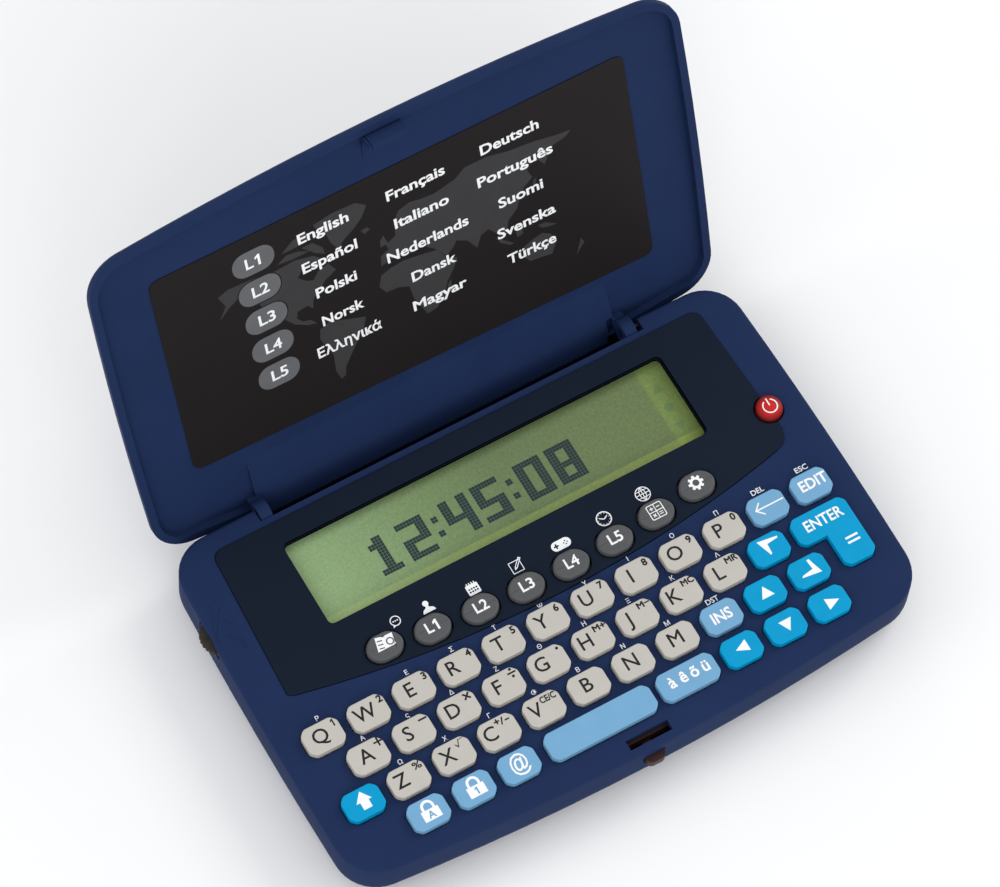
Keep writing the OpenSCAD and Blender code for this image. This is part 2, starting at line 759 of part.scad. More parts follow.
module keys_q_w() { key_pair(0, 0); }
module keys_e_r() { key_pair(0, 2); }
module keys_t_y() { key_pair(0, 4); }
module keys_u_i() { key_pair(0, 6); }
module keys_o_p() { key_pair(0, 8); }
module keys_a_s() { key_pair(1, 0); }
module keys_d_f() { key_pair(1, 2); }
module keys_g_h() { key_pair(1, 4); }
module keys_j_k() { key_pair(1, 6); }
module key_l() { letter_key(1, 8); }
module keys_z_x() { key_pair(2, 1); }
module keys_c_v() { key_pair(2, 3); }
module keys_b_n() { key_pair(2, 5); }
module key_m() { letter_key(2, 7); }
module key_delete() { command_key(0, 10, key_pale); }
module key_edit() { command_key(0, 11, key_pale); }
module key_page_up() { command_key(1, 9, key_sky); }
module key_shift() { command_key(2, 0, key_sky); }
module key_insert() { command_key(2, 8, key_pale); }
module key_up() { command_key(2, 9, key_sky); }
module key_page_down() { command_key(2, 10, key_sky); }
module key_lock_letters() { command_key(3, 0, key_pale); }
module key_lock_digits() { command_key(3, 1, key_pale); }
module key_at() { command_key(3, 2, key_pale); }
module key_left() { command_key(3, 7, key_sky); }
module key_down() { command_key(3, 8, key_sky); }
module key_right() { command_key(3, 9, key_sky); }

module key_space() {
    color(key_pale) translate([space_x, row_y[3], 0]) keycap(space_w, key_d);
}

module key_accents() {
    color(key_pale) translate([accent_x, row_y[3], 0]) keycap(accent_w, key_d);
}

module key_enter() {
    color(key_sky) union() {
        keycap_shape(enter_corners(0), enter_corners(key_lip), enter_corners(-key_bevel));
        translate([enter_stem[0], enter_stem[1], 0]) key_stem();
    }
}

module key_dictionary() { oval_key(0); }
module key_list_1() { oval_key(1); }
module key_list_2() { oval_key(2); }
module key_list_3() { oval_key(3); }
module key_list_4() { oval_key(4); }
module key_list_5() { oval_key(5); }
module key_calculator() { oval_key(6); }
module key_settings() { oval_key(7); }

// round button with a domed top
module power_button() {
    color([0.78, 0.12, 0.12]) translate([power_pos[0], power_pos[1], 0]) union() {
        post([0, 0], power_r + key_lip, [lip_low, lip_top]);
        intersection() {
            post([0, 0], power_r, [lip_low, key_top + 1]);
            translate([0, 0, key_top + 0.1 - power_dome_r]) sphere(power_dome_r);
        }
        key_stem();
    }
}

upper_case();
lower_case();
display_panel();
lcd_glass();
lcd_frame();
lcd_connector();
main_board();
board_screws();
keypad_mat();
buzzer();
wheel_spindle();
hinge_pins();
coin_cells();
battery_contacts();
case_screws();
latch_spring();
lid_shell();
lid_card();
contrast_wheel();
latch_button();
battery_door();
keys_q_w();
keys_e_r();
keys_t_y();
keys_u_i();
keys_o_p();
keys_a_s();
keys_d_f();
keys_g_h();
keys_j_k();
key_l();
keys_z_x();
keys_c_v();
keys_b_n();
key_m();
key_delete();
key_edit();
key_page_up();
key_enter();
key_shift();
key_insert();
key_up();
key_page_down();
key_lock_letters();
key_lock_digits();
key_at();
key_space();
key_accents();
key_left();
key_down();
key_right();
key_dictionary();
key_list_1();
key_list_2();
key_list_3();
key_list_4();
key_list_5();
key_calculator();
key_settings();
power_button();
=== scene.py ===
import json
import math

import bmesh
import bpy
from mathutils import Matrix, Vector

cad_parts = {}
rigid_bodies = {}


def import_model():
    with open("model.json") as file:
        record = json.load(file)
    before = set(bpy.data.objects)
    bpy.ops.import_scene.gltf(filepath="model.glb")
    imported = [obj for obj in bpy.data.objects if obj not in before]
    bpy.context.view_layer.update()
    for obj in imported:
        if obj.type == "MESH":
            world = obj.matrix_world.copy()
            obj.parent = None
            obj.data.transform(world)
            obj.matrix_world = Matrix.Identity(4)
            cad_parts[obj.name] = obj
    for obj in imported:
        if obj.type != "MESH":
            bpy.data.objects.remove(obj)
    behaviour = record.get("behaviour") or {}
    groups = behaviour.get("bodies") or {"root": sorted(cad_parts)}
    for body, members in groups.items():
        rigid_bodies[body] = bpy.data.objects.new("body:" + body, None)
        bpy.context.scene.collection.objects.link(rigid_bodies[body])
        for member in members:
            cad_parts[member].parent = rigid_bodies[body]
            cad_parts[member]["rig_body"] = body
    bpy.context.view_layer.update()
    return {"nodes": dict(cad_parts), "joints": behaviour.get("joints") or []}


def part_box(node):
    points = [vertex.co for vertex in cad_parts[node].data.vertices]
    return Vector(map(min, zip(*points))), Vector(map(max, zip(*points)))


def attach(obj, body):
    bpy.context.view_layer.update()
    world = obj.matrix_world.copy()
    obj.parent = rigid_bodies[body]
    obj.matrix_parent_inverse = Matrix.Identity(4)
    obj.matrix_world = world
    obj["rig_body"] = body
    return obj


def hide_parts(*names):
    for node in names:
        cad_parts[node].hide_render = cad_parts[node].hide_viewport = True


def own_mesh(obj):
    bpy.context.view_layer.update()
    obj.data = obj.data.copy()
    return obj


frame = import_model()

nodes = frame["nodes"]
MM = 0.001


# ---- camera, table top and lights ----
# A long lens looks down from the front left. The table is a white laminate, and three
# large soft boxes stand round it, so that every shadow is pale and has no hard edge.
def box_light(name, place, aim, size, power, tone=(1.0, 1.0, 1.0)):
    light = bpy.data.lights.new(name, "AREA")
    light.shape = "RECTANGLE"
    light.size, light.size_y = size
    light.energy = power
    light.color = tone
    lamp = bpy.data.objects.new(name, light)
    lamp.location = place
    lamp.rotation_euler = (Vector(aim) - Vector(place)).to_track_quat("-Z", "Y").to_euler()
    bpy.context.collection.objects.link(lamp)


camera_lens = bpy.data.cameras.new("camera")
camera_lens.sensor_width = 36
camera_lens.lens = 197.552
camera_lens.clip_end = 20
camera = bpy.data.objects.new("camera", camera_lens)
camera.location = (-0.252933, -0.331197, 0.939921)
camera.rotation_euler = [math.radians(a) for a in (25.3591, -2.6944, -30.1380)]
bpy.context.collection.objects.link(camera)
bpy.context.scene.camera = camera
bpy.context.scene.view_settings.view_transform = "Standard"

world = bpy.data.worlds.new("studio")
world.use_nodes = True
room = world.node_tree.nodes["Background"]
room.inputs["Color"].default_value = (0.97, 0.98, 1.0, 1)
room.inputs["Strength"].default_value = 0.8
bpy.context.scene.world = world
box_light("key_light", (2.0, 0.5, 1.6), (0, 0.02, 0.02), (1.2, 1.2), 19, (1.0, 0.99, 0.97))
box_light("front_light", (-0.9, -2.3, 1.5), (0, 0.02, 0.04), (2.2, 1.4), 24)
box_light("left_light", (-2.2, 0.6, 1.2), (0, 0.02, 0.03), (1.2, 1.8), 10, (0.95, 0.97, 1.0))


def wire(source, output, target, socket):
    """Join an output of one shader node to an input of another."""
    source.id_data.links.new(source.outputs[output], target.inputs[socket])


def noise(tree, place, size, detail=2.0, roughness=0.5):
    """A cloud pattern whose spots are about size across, in metres."""
    cloud = tree.nodes.new("ShaderNodeTexNoise")
    cloud.inputs["Scale"].default_value = 1 / size
    cloud.inputs["Detail"].default_value = detail
    cloud.inputs["Roughness"].default_value = roughness
    wire(place, "Object", cloud, "Vector")
    return cloud


def srgb(r, g, b):
    """A display colour, 0 to 255, as the shader's linear colour."""
    return tuple((((c / 255) + 0.055) / 1.055) ** 2.4 if c > 10 else c / 3295
                 for c in (r, g, b)) + (1.0,)


GLOSS_SPREAD = 0.05


def finish(name, colour, gloss, mottle=0.08, mottle_size=9 * MM, grain=0.16 * MM,
           grain_depth=0.012 * MM, specular=0.25, metallic=0.0):
    """A solid finish: its colour drifts by mottle, and a fine grain breaks its gloss."""
    material = bpy.data.materials.new(name)
    material.use_nodes = True
    tree = material.node_tree
    shader = tree.nodes["Principled BSDF"]
    shader.inputs["Specular IOR Level"].default_value = specular
    shader.inputs["Metallic"].default_value = metallic
    place = tree.nodes.new("ShaderNodeTexCoord")
    drift = noise(tree, place, mottle_size, 3)
    tone = tree.nodes.new("ShaderNodeValToRGB")
    for mark, at, swing in zip(tone.color_ramp.elements, (0.3, 0.7), (1 - mottle, 1 + mottle)):
        mark.position = at
        mark.color = [min(1, c * swing) for c in colour[:3]] + [1]
    wire(drift, "Fac", tone, "Fac")
    wire(tone, "Color", shader, "Base Color")
    pores = noise(tree, place, grain, 2, 0.6)
    polish = tree.nodes.new("ShaderNodeMapRange")
    polish.inputs["To Min"].default_value = gloss - GLOSS_SPREAD
    polish.inputs["To Max"].default_value = gloss + GLOSS_SPREAD
    wire(pores, "Fac", polish, "Value")
    wire(polish, "Result", shader, "Roughness")
    relief = tree.nodes.new("ShaderNodeBump")
    relief.inputs["Strength"].default_value = 0.35
    relief.inputs["Distance"].default_value = grain_depth
    wire(pores, "Fac", relief, "Height")
    wire(relief, "Normal", shader, "Normal")
    return material


bpy.ops.object.select_all(action="DESELECT")
bpy.ops.mesh.primitive_plane_add(size=6)
table = bpy.context.object
table.name = "table_top"
table.data.materials.append(finish("white_laminate", (0.9, 0.9, 0.9, 1), 0.7, 0.008, 60 * MM,
                                   0.4 * MM, 0.01 * MM))


# ---- case: upper and lower half, and the battery door ----
# Injection-moulded in dark blue ABS with a fine spark-eroded grain. The halves meet
# on a seam round the side walls, and every moulded edge is slightly rounded.
EDGE_ANGLE = 40
WELD = 0.002 * MM


def only(piece):
    """Select that piece and nothing else."""
    bpy.ops.object.select_all(action="DESELECT")
    piece.select_set(True)
    bpy.context.view_layer.objects.active = piece


def edit():
    """Open the active piece's mesh for work."""
    bpy.ops.object.mode_set(mode="EDIT")


def leave():
    """Close that mesh again."""
    bpy.ops.object.mode_set(mode="OBJECT")


def apply_modifiers(piece):
    only(piece)
    for modifier in list(piece.modifiers):
        bpy.ops.object.modifier_apply(modifier=modifier.name)


def smooth(piece, angle=35):
    only(piece)
    bpy.ops.object.shade_smooth_by_angle(angle=math.radians(angle))


def round_edges(piece, width, steps=2):
    """Soften every edge that is sharper than EDGE_ANGLE."""
    bevel = piece.modifiers.new("edge", "BEVEL")
    bevel.width = width
    bevel.segments = steps
    bevel.limit_method = "ANGLE"
    bevel.angle_limit = math.radians(EDGE_ANGLE)
    bevel.use_clamp_overlap = False
    even = piece.modifiers.new("even", "WEIGHTED_NORMAL")
    even.keep_sharp = True
    smooth(piece)
    apply_modifiers(piece)


def coat(piece, material):
    """Give the whole piece one finish."""
    piece.data.materials.clear()
    piece.data.materials.append(material)


def worked_copy(node, name, material, edge=0.0, steps=2):
    """A copy of a frame part, welded and with softened edges, that stands for it."""
    piece = bpy.data.objects.new(name, nodes[node].data.copy())
    bpy.context.collection.objects.link(piece)
    only(piece)
    bpy.ops.mesh.customdata_custom_splitnormals_clear()
    edit()
    bpy.ops.mesh.select_all(action="SELECT")
    bpy.ops.mesh.remove_doubles(threshold=WELD)
    bpy.ops.mesh.dissolve_limited(angle_limit=math.radians(0.3))
    leave()
    coat(piece, material)
    if edge:
        round_edges(piece, edge, steps)
    else:
        smooth(piece)
    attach(piece, nodes[node]["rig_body"])
    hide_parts(node)
    return piece


case_blue = finish("case_blue", (0.0148, 0.0285, 0.084, 1), 0.48, 0.045, 14 * MM, 0.14 * MM,
                   0.01 * MM, specular=0.025)
for part in ("upper_case", "lower_case", "battery_door"):
    worked_copy(part, part + "_moulding", case_blue)


# ---- printing ----
# Legends are pad-printed in thin ink. Each is drawn flat in millimetres, as letters or
# as closed outlines with their holes, and then laid on the face that carries it.
INK = 0.006 * MM
CAP_HEIGHT = 0.682


def join(parts, name):
    """Make one piece of the parts, under that name."""
    only(parts[0])
    for part in parts[1:]:
        part.select_set(True)
    if len(parts) > 1:
        bpy.ops.object.join()
    parts[0].name = name
    return parts[0]


def letters(text, x, y, cap, weight=0.0, wide=None, layer=0):
    """Flat text round x and y: capitals cap high, strokes grown by weight, fitted to wide."""
    bpy.ops.object.select_all(action="DESELECT")
    bpy.ops.object.text_add()
    word = bpy.context.object
    word.data.body = text
    word.data.size = (cap - 2 * weight) / CAP_HEIGHT * MM
    word.data.resolution_u = 3
    if weight:
        word.data.bevel_depth = weight * MM
        word.data.bevel_resolution = 0
    else:
        word.data.extrude = INK
    bpy.ops.object.convert(target="MESH")
    word = bpy.context.object
    ends = [vertex.co.x for vertex in word.data.vertices]
    left, right = min(ends), max(ends)
    stretch = wide * MM / (right - left) if wide else 1
    flat = INK / (weight * MM) if weight else 1
    word.data.transform(Matrix.Translation((x * MM, (y - cap / 2 + weight) * MM, layer * INK))
                        @ Matrix.Diagonal((stretch, 1, flat, 1))
                        @ Matrix.Translation((-(left + right) / 2, 0, 0)))
    return word


def drawn(outlines, layer=0, rise=INK):
    """Flat shape filled between closed outlines: an outline inside another is a hole."""
    curve = bpy.data.curves.new("outline", "CURVE")
    curve.dimensions = "2D"
    curve.fill_mode = "BOTH"
    curve.extrude = rise
    for outline in outlines:
        spline = curve.splines.new("POLY")
        spline.points.add(len(outline) - 1)
        spline.use_cyclic_u = True
        for point, (x, y) in zip(spline.points, outline):
            point.co = (x * MM, y * MM, 0, 1)
    shape = bpy.data.objects.new("outline", curve)
    bpy.context.collection.objects.link(shape)
    only(shape)
    bpy.ops.object.convert(target="MESH")
    shape = bpy.context.object
    shape.data.transform(Matrix.Translation((0, 0, layer * INK)))
    return shape


def numeral_one(x, y, cap, stroke, layer=0):
    """The figure 1 with a flag, which the plain letters lack."""
    stem_left, stem_right = x - stroke / 2, x + stroke / 2
    flag_end, foot_end, head = x - 0.3 * cap, y - cap / 2, y + cap / 2
    return drawn([[(stem_right, foot_end), (stem_right, head), (x - 0.3 * stroke, head),
                   (flag_end, y + 0.3 * cap), (flag_end, y + 0.3 * cap - stroke),
                   (stem_left, y + 0.44 * cap - stroke), (stem_left, foot_end)]], layer)


def disc(x, y, r, steps=24):
    return [(x + r * math.cos(2 * math.pi * i / steps), y + r * math.sin(2 * math.pi * i / steps))
            for i in range(steps)]


def bar(x0, y0, x1, y1, width):
    """A straight stroke from one point to the other."""
    length = math.hypot(x1 - x0, y1 - y0)
    dx, dy = (y0 - y1) / length * width / 2, (x1 - x0) / length * width / 2
    return [(x0 + dx, y0 + dy), (x0 - dx, y0 - dy), (x1 - dx, y1 - dy), (x1 + dx, y1 + dy)]


def pill(x, y, w, h, r, steps=6):
    """A rectangle with rounded corners."""
    points = []
    for k, (sx, sy) in enumerate(((1, 1), (-1, 1), (-1, -1), (1, -1))):
        for i in range(steps + 1):
            a = math.radians(90 * (k + i / steps))
            points.append((x + sx * (w / 2 - r) + r * math.cos(a),
                           y + sy * (h / 2 - r) + r * math.sin(a)))
    return points


def arc(x, y, r, start, end, steps=16):
    """Points along a circle, from the start to the end angle in degrees."""
    return [(x + r * math.cos(math.radians(start + (end - start) * i / steps)),
             y + r * math.sin(math.radians(start + (end - start) * i / steps)))
            for i in range(steps + 1)]


def arc_band(x, y, r, width, start, end, steps=16):
    """A curved stroke round a centre."""
    return arc(x, y, r + width / 2, start, end, steps) + arc(x, y, r - width / 2, end, start, steps)


def shifted(outlines, x, y):
    """The outlines, moved by x and y."""
    return [[(px + x, py + y) for px, py in outline] for outline in outlines]


def dress(piece, body, material):
    """Give a piece its finish, and let it go with its body."""
    coat(piece, material)
    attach(piece, body)


def printed(name, parts, face, body, material):
    """Join flat parts and lay them on face, a matrix from drawing to world."""
    piece = join(parts, name)
    piece.data.transform(face)
    dress(piece, body, material)


def level(height):
    """A face that looks straight up, at that height in millimetres."""
    return Matrix.Translation((0, 0, height * MM))


white_ink = finish("white_ink", (0.9, 0.91, 0.92, 1), 0.45, 0.03, 2 * MM)
black_ink = finish("black_ink", (0.01, 0.01, 0.011, 1), 0.45, 0.1, 2 * MM)


# ---- display panel ----
# A smooth dark navy panel, let into the deck. Small white signs over the oval keys
# show the functions that they open.
CUT_TOLERANCE = 1e-7


def mm(*values):
    """Millimetres as the frame's metres."""
    return [value * MM for value in values]


def add_block(low, high):
    """A block between two opposite corners."""
    bpy.ops.object.select_all(action="DESELECT")
    bpy.ops.mesh.primitive_cube_add(size=1)
    piece = bpy.context.object
    middle = (Vector(low) + Vector(high)) / 2
    size = Vector(high) - Vector(low)
    piece.data.transform(Matrix.Translation(middle) @ Matrix.Diagonal((*size, 1)))
    return piece


def slice_all(at, normal, **keep):
    """In edit mode, cut along a plane; keep says what is filled or thrown away."""
    bpy.ops.mesh.select_all(action="SELECT")
    bpy.ops.mesh.bisect(plane_co=at, plane_no=normal, threshold=CUT_TOLERANCE, **keep)


def mill(piece, cutter):
    """Take the cutter's shape out of the piece, and put the cutter away."""
    only(cutter)
    edit()
    bpy.ops.mesh.select_all(action="SELECT")
    bpy.ops.mesh.remove_doubles(threshold=0.001 * MM)
    bpy.ops.mesh.normals_make_consistent(inside=False)
    leave()
    milled = piece.modifiers.new("milled", "BOOLEAN")
    milled.object = cutter
    milled.operation = "DIFFERENCE"
    milled.solver = "EXACT"
    apply_modifiers(piece)
    bpy.data.objects.remove(cutter)


panel_navy = finish("panel_navy", (0.0052, 0.0105, 0.0235, 1), 0.42, 0.05, 20 * MM, 0.1 * MM,
                    0.004 * MM, specular=0.09)
# Black that stands for shade: painted shade on the walls of the window and on the line round it.
window_shade_black = finish("window_shade_black", (0.0012, 0.0014, 0.002, 1), 0.6, 0.1, 5 * MM, specular=0.0)
panel_plate = worked_copy("display_panel", "display_panel_plate", panel_navy)

# The front right corner is cut round: a curve from start to end that leans to the tip.
CORNER_START, CORNER_TIP, CORNER_END = (50.9, 1.095), (53.6, 1.72), (53.79, 4.7)
CORNER_STEPS = 8
BEYOND_CORNER = [(55.5, 4.75), (55.5, -0.5), (50.7, -0.5)]
CUTTER_HEIGHT = 12.4
corner = [tuple((1 - t) ** 2 * start + 2 * t * (1 - t) * tip + t * t * end
                for start, tip, end in zip(CORNER_START, CORNER_TIP, CORNER_END))
          for t in [k / CORNER_STEPS for k in range(CORNER_STEPS + 1)]]
corner_cutter = drawn([corner + BEYOND_CORNER], rise=2 * MM)
corner_cutter.data.transform(level(CUTTER_HEIGHT))
mill(panel_plate, corner_cutter)
round_edges(panel_plate, 0.1 * MM)

# Blue plastic fills the recess in the deck where the panel's corner is cut away.
FILL_LOW, FILL_HIGH = mm(50.5, 0.9, 12.0), mm(53.96, 5.2, 12.496)
FILL_EDGE, FILL_LEAN = mm(50.6, 1.0, 0), (-4.2, 3.3, 0)
corner_fill = add_block(FILL_LOW, FILL_HIGH)
corner_fill.name = "panel_corner_fill"
edit()
slice_all(FILL_EDGE, FILL_LEAN, use_fill=True, clear_outer=True)
leave()
dress(corner_fill, "base", case_blue)

# The walls of the window are coloured black as painted shade, for the deep shade inside the window;
# they stand upright between these limits.
WALL_X, WALL_FRONT, WALL_BACK = 42, 10.2, 28.8
panel_plate.data.materials.append(window_shade_black)
for face in panel_plate.data.polygons:
    at = face.center / MM
    if abs(face.normal.z) < 0.4 and abs(at.x) < WALL_X and WALL_FRONT < at.y < WALL_BACK:
        face.material_index = 1
panel_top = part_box("display_panel")[1].z / MM

# Each sign is a list of layers, and each layer a list of outlines round the sign's middle.
SPEECH = [[disc(0, 0, 1.05), disc(0, 0, 0.86), disc(-0.42, 0, 0.15, 8), disc(0, 0, 0.15, 8),
           disc(0.42, 0, 0.15, 8)], [[(-0.75, -0.62), (-0.95, -1.2), (-0.3, -0.95)]]]
PERSON = [[disc(0, 0.72, 0.58)],
          [[(-0.3, 0.34), (-0.32, -0.1), (-0.95, -0.4), (-1.22, -0.75), (-1.3, -1.1),
            (1.3, -1.1), (1.22, -0.75), (0.95, -0.4), (0.32, -0.1), (0.3, 0.34)]]]
CALENDAR = [[pill(0, -0.1, 2.5, 2.15, 0.25)]
            + [pill(0.58 * i, 0.05 - 0.56 * j, 0.36, 0.34, 0.08, 2)
               for i in (-1.3, -0.43, 0.43, 1.3) for j in (0, 1)],
            [bar(0.62 * i, 0.98, 0.62 * i, 1.35, 0.2) for i in (-1.2, -0.4, 0.4, 1.2)]]
PENCIL = [[pill(-0.2, -0.15, 2.35, 2.45, 0.1), pill(-0.2, -0.15, 2.05, 2.15, 0.05)],
          [[(-0.75, -0.75), (-0.5, -0.1), (1.0, 1.45), (1.4, 1.1), (-0.12, -0.5)],
           [(-0.45, -0.35), (-0.3, -0.1), (0.95, 1.2), (1.13, 1.03), (-0.14, -0.28)]]]
GAMEPAD = [[pill(0, 0, 4.0, 2.0, 0.99, 8),
            [(-1.52, 0.16), (-1.16, 0.16), (-1.16, 0.54), (-0.84, 0.54), (-0.84, 0.16),
             (-0.48, 0.16), (-0.48, -0.16), (-0.84, -0.16), (-0.84, -0.54), (-1.16, -0.54),
             (-1.16, -0.16), (-1.52, -0.16)]]
           + [disc(0.95 + 0.36 * dx, 0.36 * dy, 0.15, 8)
              for dx, dy in ((1, 0), (-1, 0), (0, 1), (0, -1))]]
HOURS = [(math.cos(math.radians(30 * i)), math.sin(math.radians(30 * i))) for i in range(12)]
CLOCK = [[disc(0, 0, 1.52, 36), disc(0, 0, 1.3, 36)]
         + [bar(1.05 * c, 1.05 * s, 1.22 * c, 1.22 * s, 0.1) for c, s in HOURS],
         [[(0.12, -0.18), (-0.15, -0.14), (-0.85, 0.38), (-0.75, 0.52), (-0.02, 0.02),
           (0.8, 0.42), (0.88, 0.26)]]]
GLOBE = [[disc(0, 0, 1.52, 36), disc(0, 0, 1.34, 36)],
         [arc_band(1.15, 0, 1.75, 0.15, 130, 230)], [arc_band(-1.15, 0, 1.75, 0.15, -50, 50)],
         [bar(0, -1.36, 0, 1.36, 0.15)], [bar(-1.36, 0, 1.36, 0, 0.15)],
         [bar(-1.14, 0.7, 1.14, 0.7, 0.13)], [bar(-1.14, -0.7, 1.14, -0.7, 0.13)]]
SIGN_PLACES = ((SPEECH, -29.4, 5.4), (PERSON, -22.85, 5.0), (CALENDAR, -13.6, 4.1),
               (PENCIL, -4.15, 4.2), (GAMEPAD, 5.2, 3.95), (CLOCK, 14.85, 4.6), (GLOBE, 23.8, 5.45))
signs = []
for sign, x, y in SIGN_PLACES:
    for layer, outlines in enumerate(sign):
        signs.append(drawn(shifted(outlines, x, y), layer))
printed("panel_signs", signs, level(panel_top), "base", white_ink)

# A black line frames the window as a printed border; it is broader on the right and at the back,
# where it is painted shade for the window's shaded walls.
LINE_OUTSIDE, LINE_INSIDE = (0.49, 19.64, 81.62, 18.52, 1.3), (0.3, 19.5, 81.2, 18.2, 1.1)
printed("window_border_and_shade", [drawn([pill(*LINE_OUTSIDE), pill(*LINE_INSIDE)])], level(panel_top), "base",
        window_shade_black)


# ---- screen ----
# A reflective liquid-crystal cell, grey-green, deep in its window. Square dots make
# up the time of day, and dark marks that are off show faintly at the right.
DOT_PITCH = 0.62 * MM
DIGIT_WIDE, DIGIT_HIGH = 9, 13
COLON_WIDE, COLON_ROWS = 2, (3, 8)
FIGURE_GAP = 2
cell_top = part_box("lcd_glass")[1].z


def ramp(tree, source, start, end, stops):
    """A colour ramp along one direction, in millimetres; each stop is a place and a colour."""
    span = tree.nodes.new("ShaderNodeMapRange")
    span.inputs["From Min"].default_value = start * MM
    span.inputs["From Max"].default_value = end * MM
    tree.links.new(source, span.inputs["Value"])
    fade = tree.nodes.new("ShaderNodeValToRGB")
    marks = fade.color_ramp.elements
    while len(marks) < len(stops):
        marks.new(0.5)
    for mark, (place, colour) in zip(marks, stops):
        mark.position = (place - start) / (end - start)
        mark.color = colour
    wire(span, "Result", fade, "Fac")
    return fade


# Across the cell the green is painted paler to the left, as painted light; the lighter step at the
# right is the strip that holds the faint marks.
SCREEN_X = (-40, 41)
SCREEN_LIGHT_AND_TONES = ((-40, srgb(149, 177, 127)), (-28, srgb(136, 162, 116)), (-12, srgb(120, 142, 98)),
                (2, srgb(108, 127, 88)), (35.6, srgb(108, 124, 82)), (36.4, srgb(121, 141, 80)))
FRONT_Y = (11, 15)
FRONT_TONES = ((12.7, (0.75, 0.75, 0.75, 1)), (13.1, (0, 0, 0, 1)))


def screen_green():
    """Grey-green, paled to the left by painted light, with a lighter strip along the front and fine
    dust.
    """
    material = finish("screen_green", srgb(112, 130, 94), 0.35, 0.05, 30 * MM, 0.3 * MM, 0.002 * MM,
                      specular=0.15)
    tree = material.node_tree
    shader = tree.nodes["Principled BSDF"]
    place = tree.nodes["Texture Coordinate"]
    split = tree.nodes.new("ShaderNodeSeparateXYZ")
    wire(place, "Object", split, "Vector")
    light_across = ramp(tree, split.outputs["X"], *SCREEN_X, SCREEN_LIGHT_AND_TONES)
    front = ramp(tree, split.outputs["Y"], *FRONT_Y, FRONT_TONES)
    strip = tree.nodes.new("ShaderNodeMix")
    strip.data_type = "RGBA"
    strip.blend_type = "SCREEN"
    strip.inputs["B"].default_value = (0.15, 0.19, 0.02, 1)
    wire(front, "Color", strip, "Factor")
    wire(light_across, "Color", strip, "A")
    dust = noise(tree, place, 0.5 * MM, 2)
    speck = tree.nodes.new("ShaderNodeMix")
    speck.data_type = "RGBA"
    speck.blend_type = "SOFT_LIGHT"
    speck.inputs["Factor"].default_value = 0.35
    wire(strip, "Result", speck, "A")
    wire(dust, "Fac", speck, "B")
    wire(speck, "Result", shader, "Base Color")
    return material


worked_copy("lcd_glass", "screen_cell", screen_green(), 0.15 * MM)

# Strokes of the figures, as first column and row and last column and row, and the strokes
# that each figure has.
STROKES = {"a": (0, 0, 9, 2), "d": (0, 11, 9, 13), "g": (0, 6, 9, 8), "f": (0, 0, 3, 8),
           "b": (6, 0, 9, 8), "e": (0, 6, 3, 13), "c": (6, 6, 9, 13), "i": (3, 0, 6, 13),
           "j": (1, 2, 3, 4), "k": (1, 11, 8, 13)}
DIGITS = {"0": "abcdef", "1": "ijk", "2": "abged", "4": "fgbc", "5": "afgcd", "8": "abcdefg"}


def lit_cells(text):
    """Cells of the dot grid that are dark, as column and row from the top left."""
    cells = set()
    column = 0
    for mark in text:
        if mark == ":":
            cells |= {(column + i, row + j) for i in (0, 1) for j in (0, 1) for row in COLON_ROWS}
            column += COLON_WIDE + FIGURE_GAP
            continue
        for stroke in DIGITS[mark]:
            x0, y0, x1, y1 = STROKES[stroke]
            cells |= {(column + i, j) for i in range(x0, x1) for j in range(y0, y1)}
        column += DIGIT_WIDE + FIGURE_GAP
    return cells, column - FIGURE_GAP


clock_cells, clock_columns = lit_cells("12:45:08")
clock_left, clock_top = -26.6 * MM, 23.0 * MM
bpy.ops.object.select_all(action="DESELECT")
bpy.ops.mesh.primitive_grid_add(x_subdivisions=clock_columns, y_subdivisions=DIGIT_HIGH, size=1)
screen_dots = bpy.context.object
screen_dots.name = "screen_dots"
screen_dots.data.transform(Matrix.Translation((clock_left, clock_top, cell_top + 0.01 * MM))
                           @ Matrix.Diagonal((clock_columns * DOT_PITCH,
                                              DIGIT_HIGH * DOT_PITCH, 1, 1))
                           @ Matrix.Translation((0.5, -0.5, 0)))
edit()
bpy.ops.mesh.select_mode(type="FACE")
cells_mesh = bmesh.from_edit_mesh(screen_dots.data)
for face in cells_mesh.faces:
    middle = face.calc_center_median()
    cell = (int((middle.x - clock_left) / DOT_PITCH), int((clock_top - middle.y) / DOT_PITCH))
    face.select_set(cell not in clock_cells)
bmesh.update_edit_mesh(screen_dots.data)
bpy.ops.mesh.delete(type="FACE")
bpy.ops.mesh.select_all(action="SELECT")
bpy.ops.mesh.inset(thickness=0.022 * MM, use_individual=True)
bpy.ops.mesh.select_all(action="INVERT")
bpy.ops.mesh.delete(type="FACE")
leave()
lcd_dark = finish("lcd_dark", srgb(44, 58, 62), 0.5, 0.06, 3 * MM, specular=0.1)
dress(screen_dots, "base", lcd_dark)

lcd_faint = finish("lcd_faint", srgb(104, 130, 80), 0.4, 0.06, 3 * MM)
faint_marks = [drawn([[(36.9, 22.9), (39.2, 22.9), (38.1, 25.0)]]),
               drawn([pill(38.1, 19.4, 1.9, 1.9, 0.9)]),
               drawn([[(36.9, 16.0), (39.2, 16.0), (38.1, 13.9)]])]
printed("screen_marks", faint_marks, level(cell_top / MM), "base", lcd_faint)


# ---- lid ----
# The lid is a shallow tray moulded in the same dark blue ABS as the case. It swings on
# two arms at its back, and between them its flap slopes down to the deck.
lid_moulding = worked_copy("lid_shell", "lid_moulding", case_blue)
hinge = next(joint for joint in frame["joints"] if joint["name"] == "lid_hinge")
hinge_at = Matrix.Translation(hinge["pos_m"])
closed_to_open = (hinge_at @ Matrix.Rotation(math.radians(hinge["range_deg"][0]), 4, "X")
                  @ hinge_at.inverted())

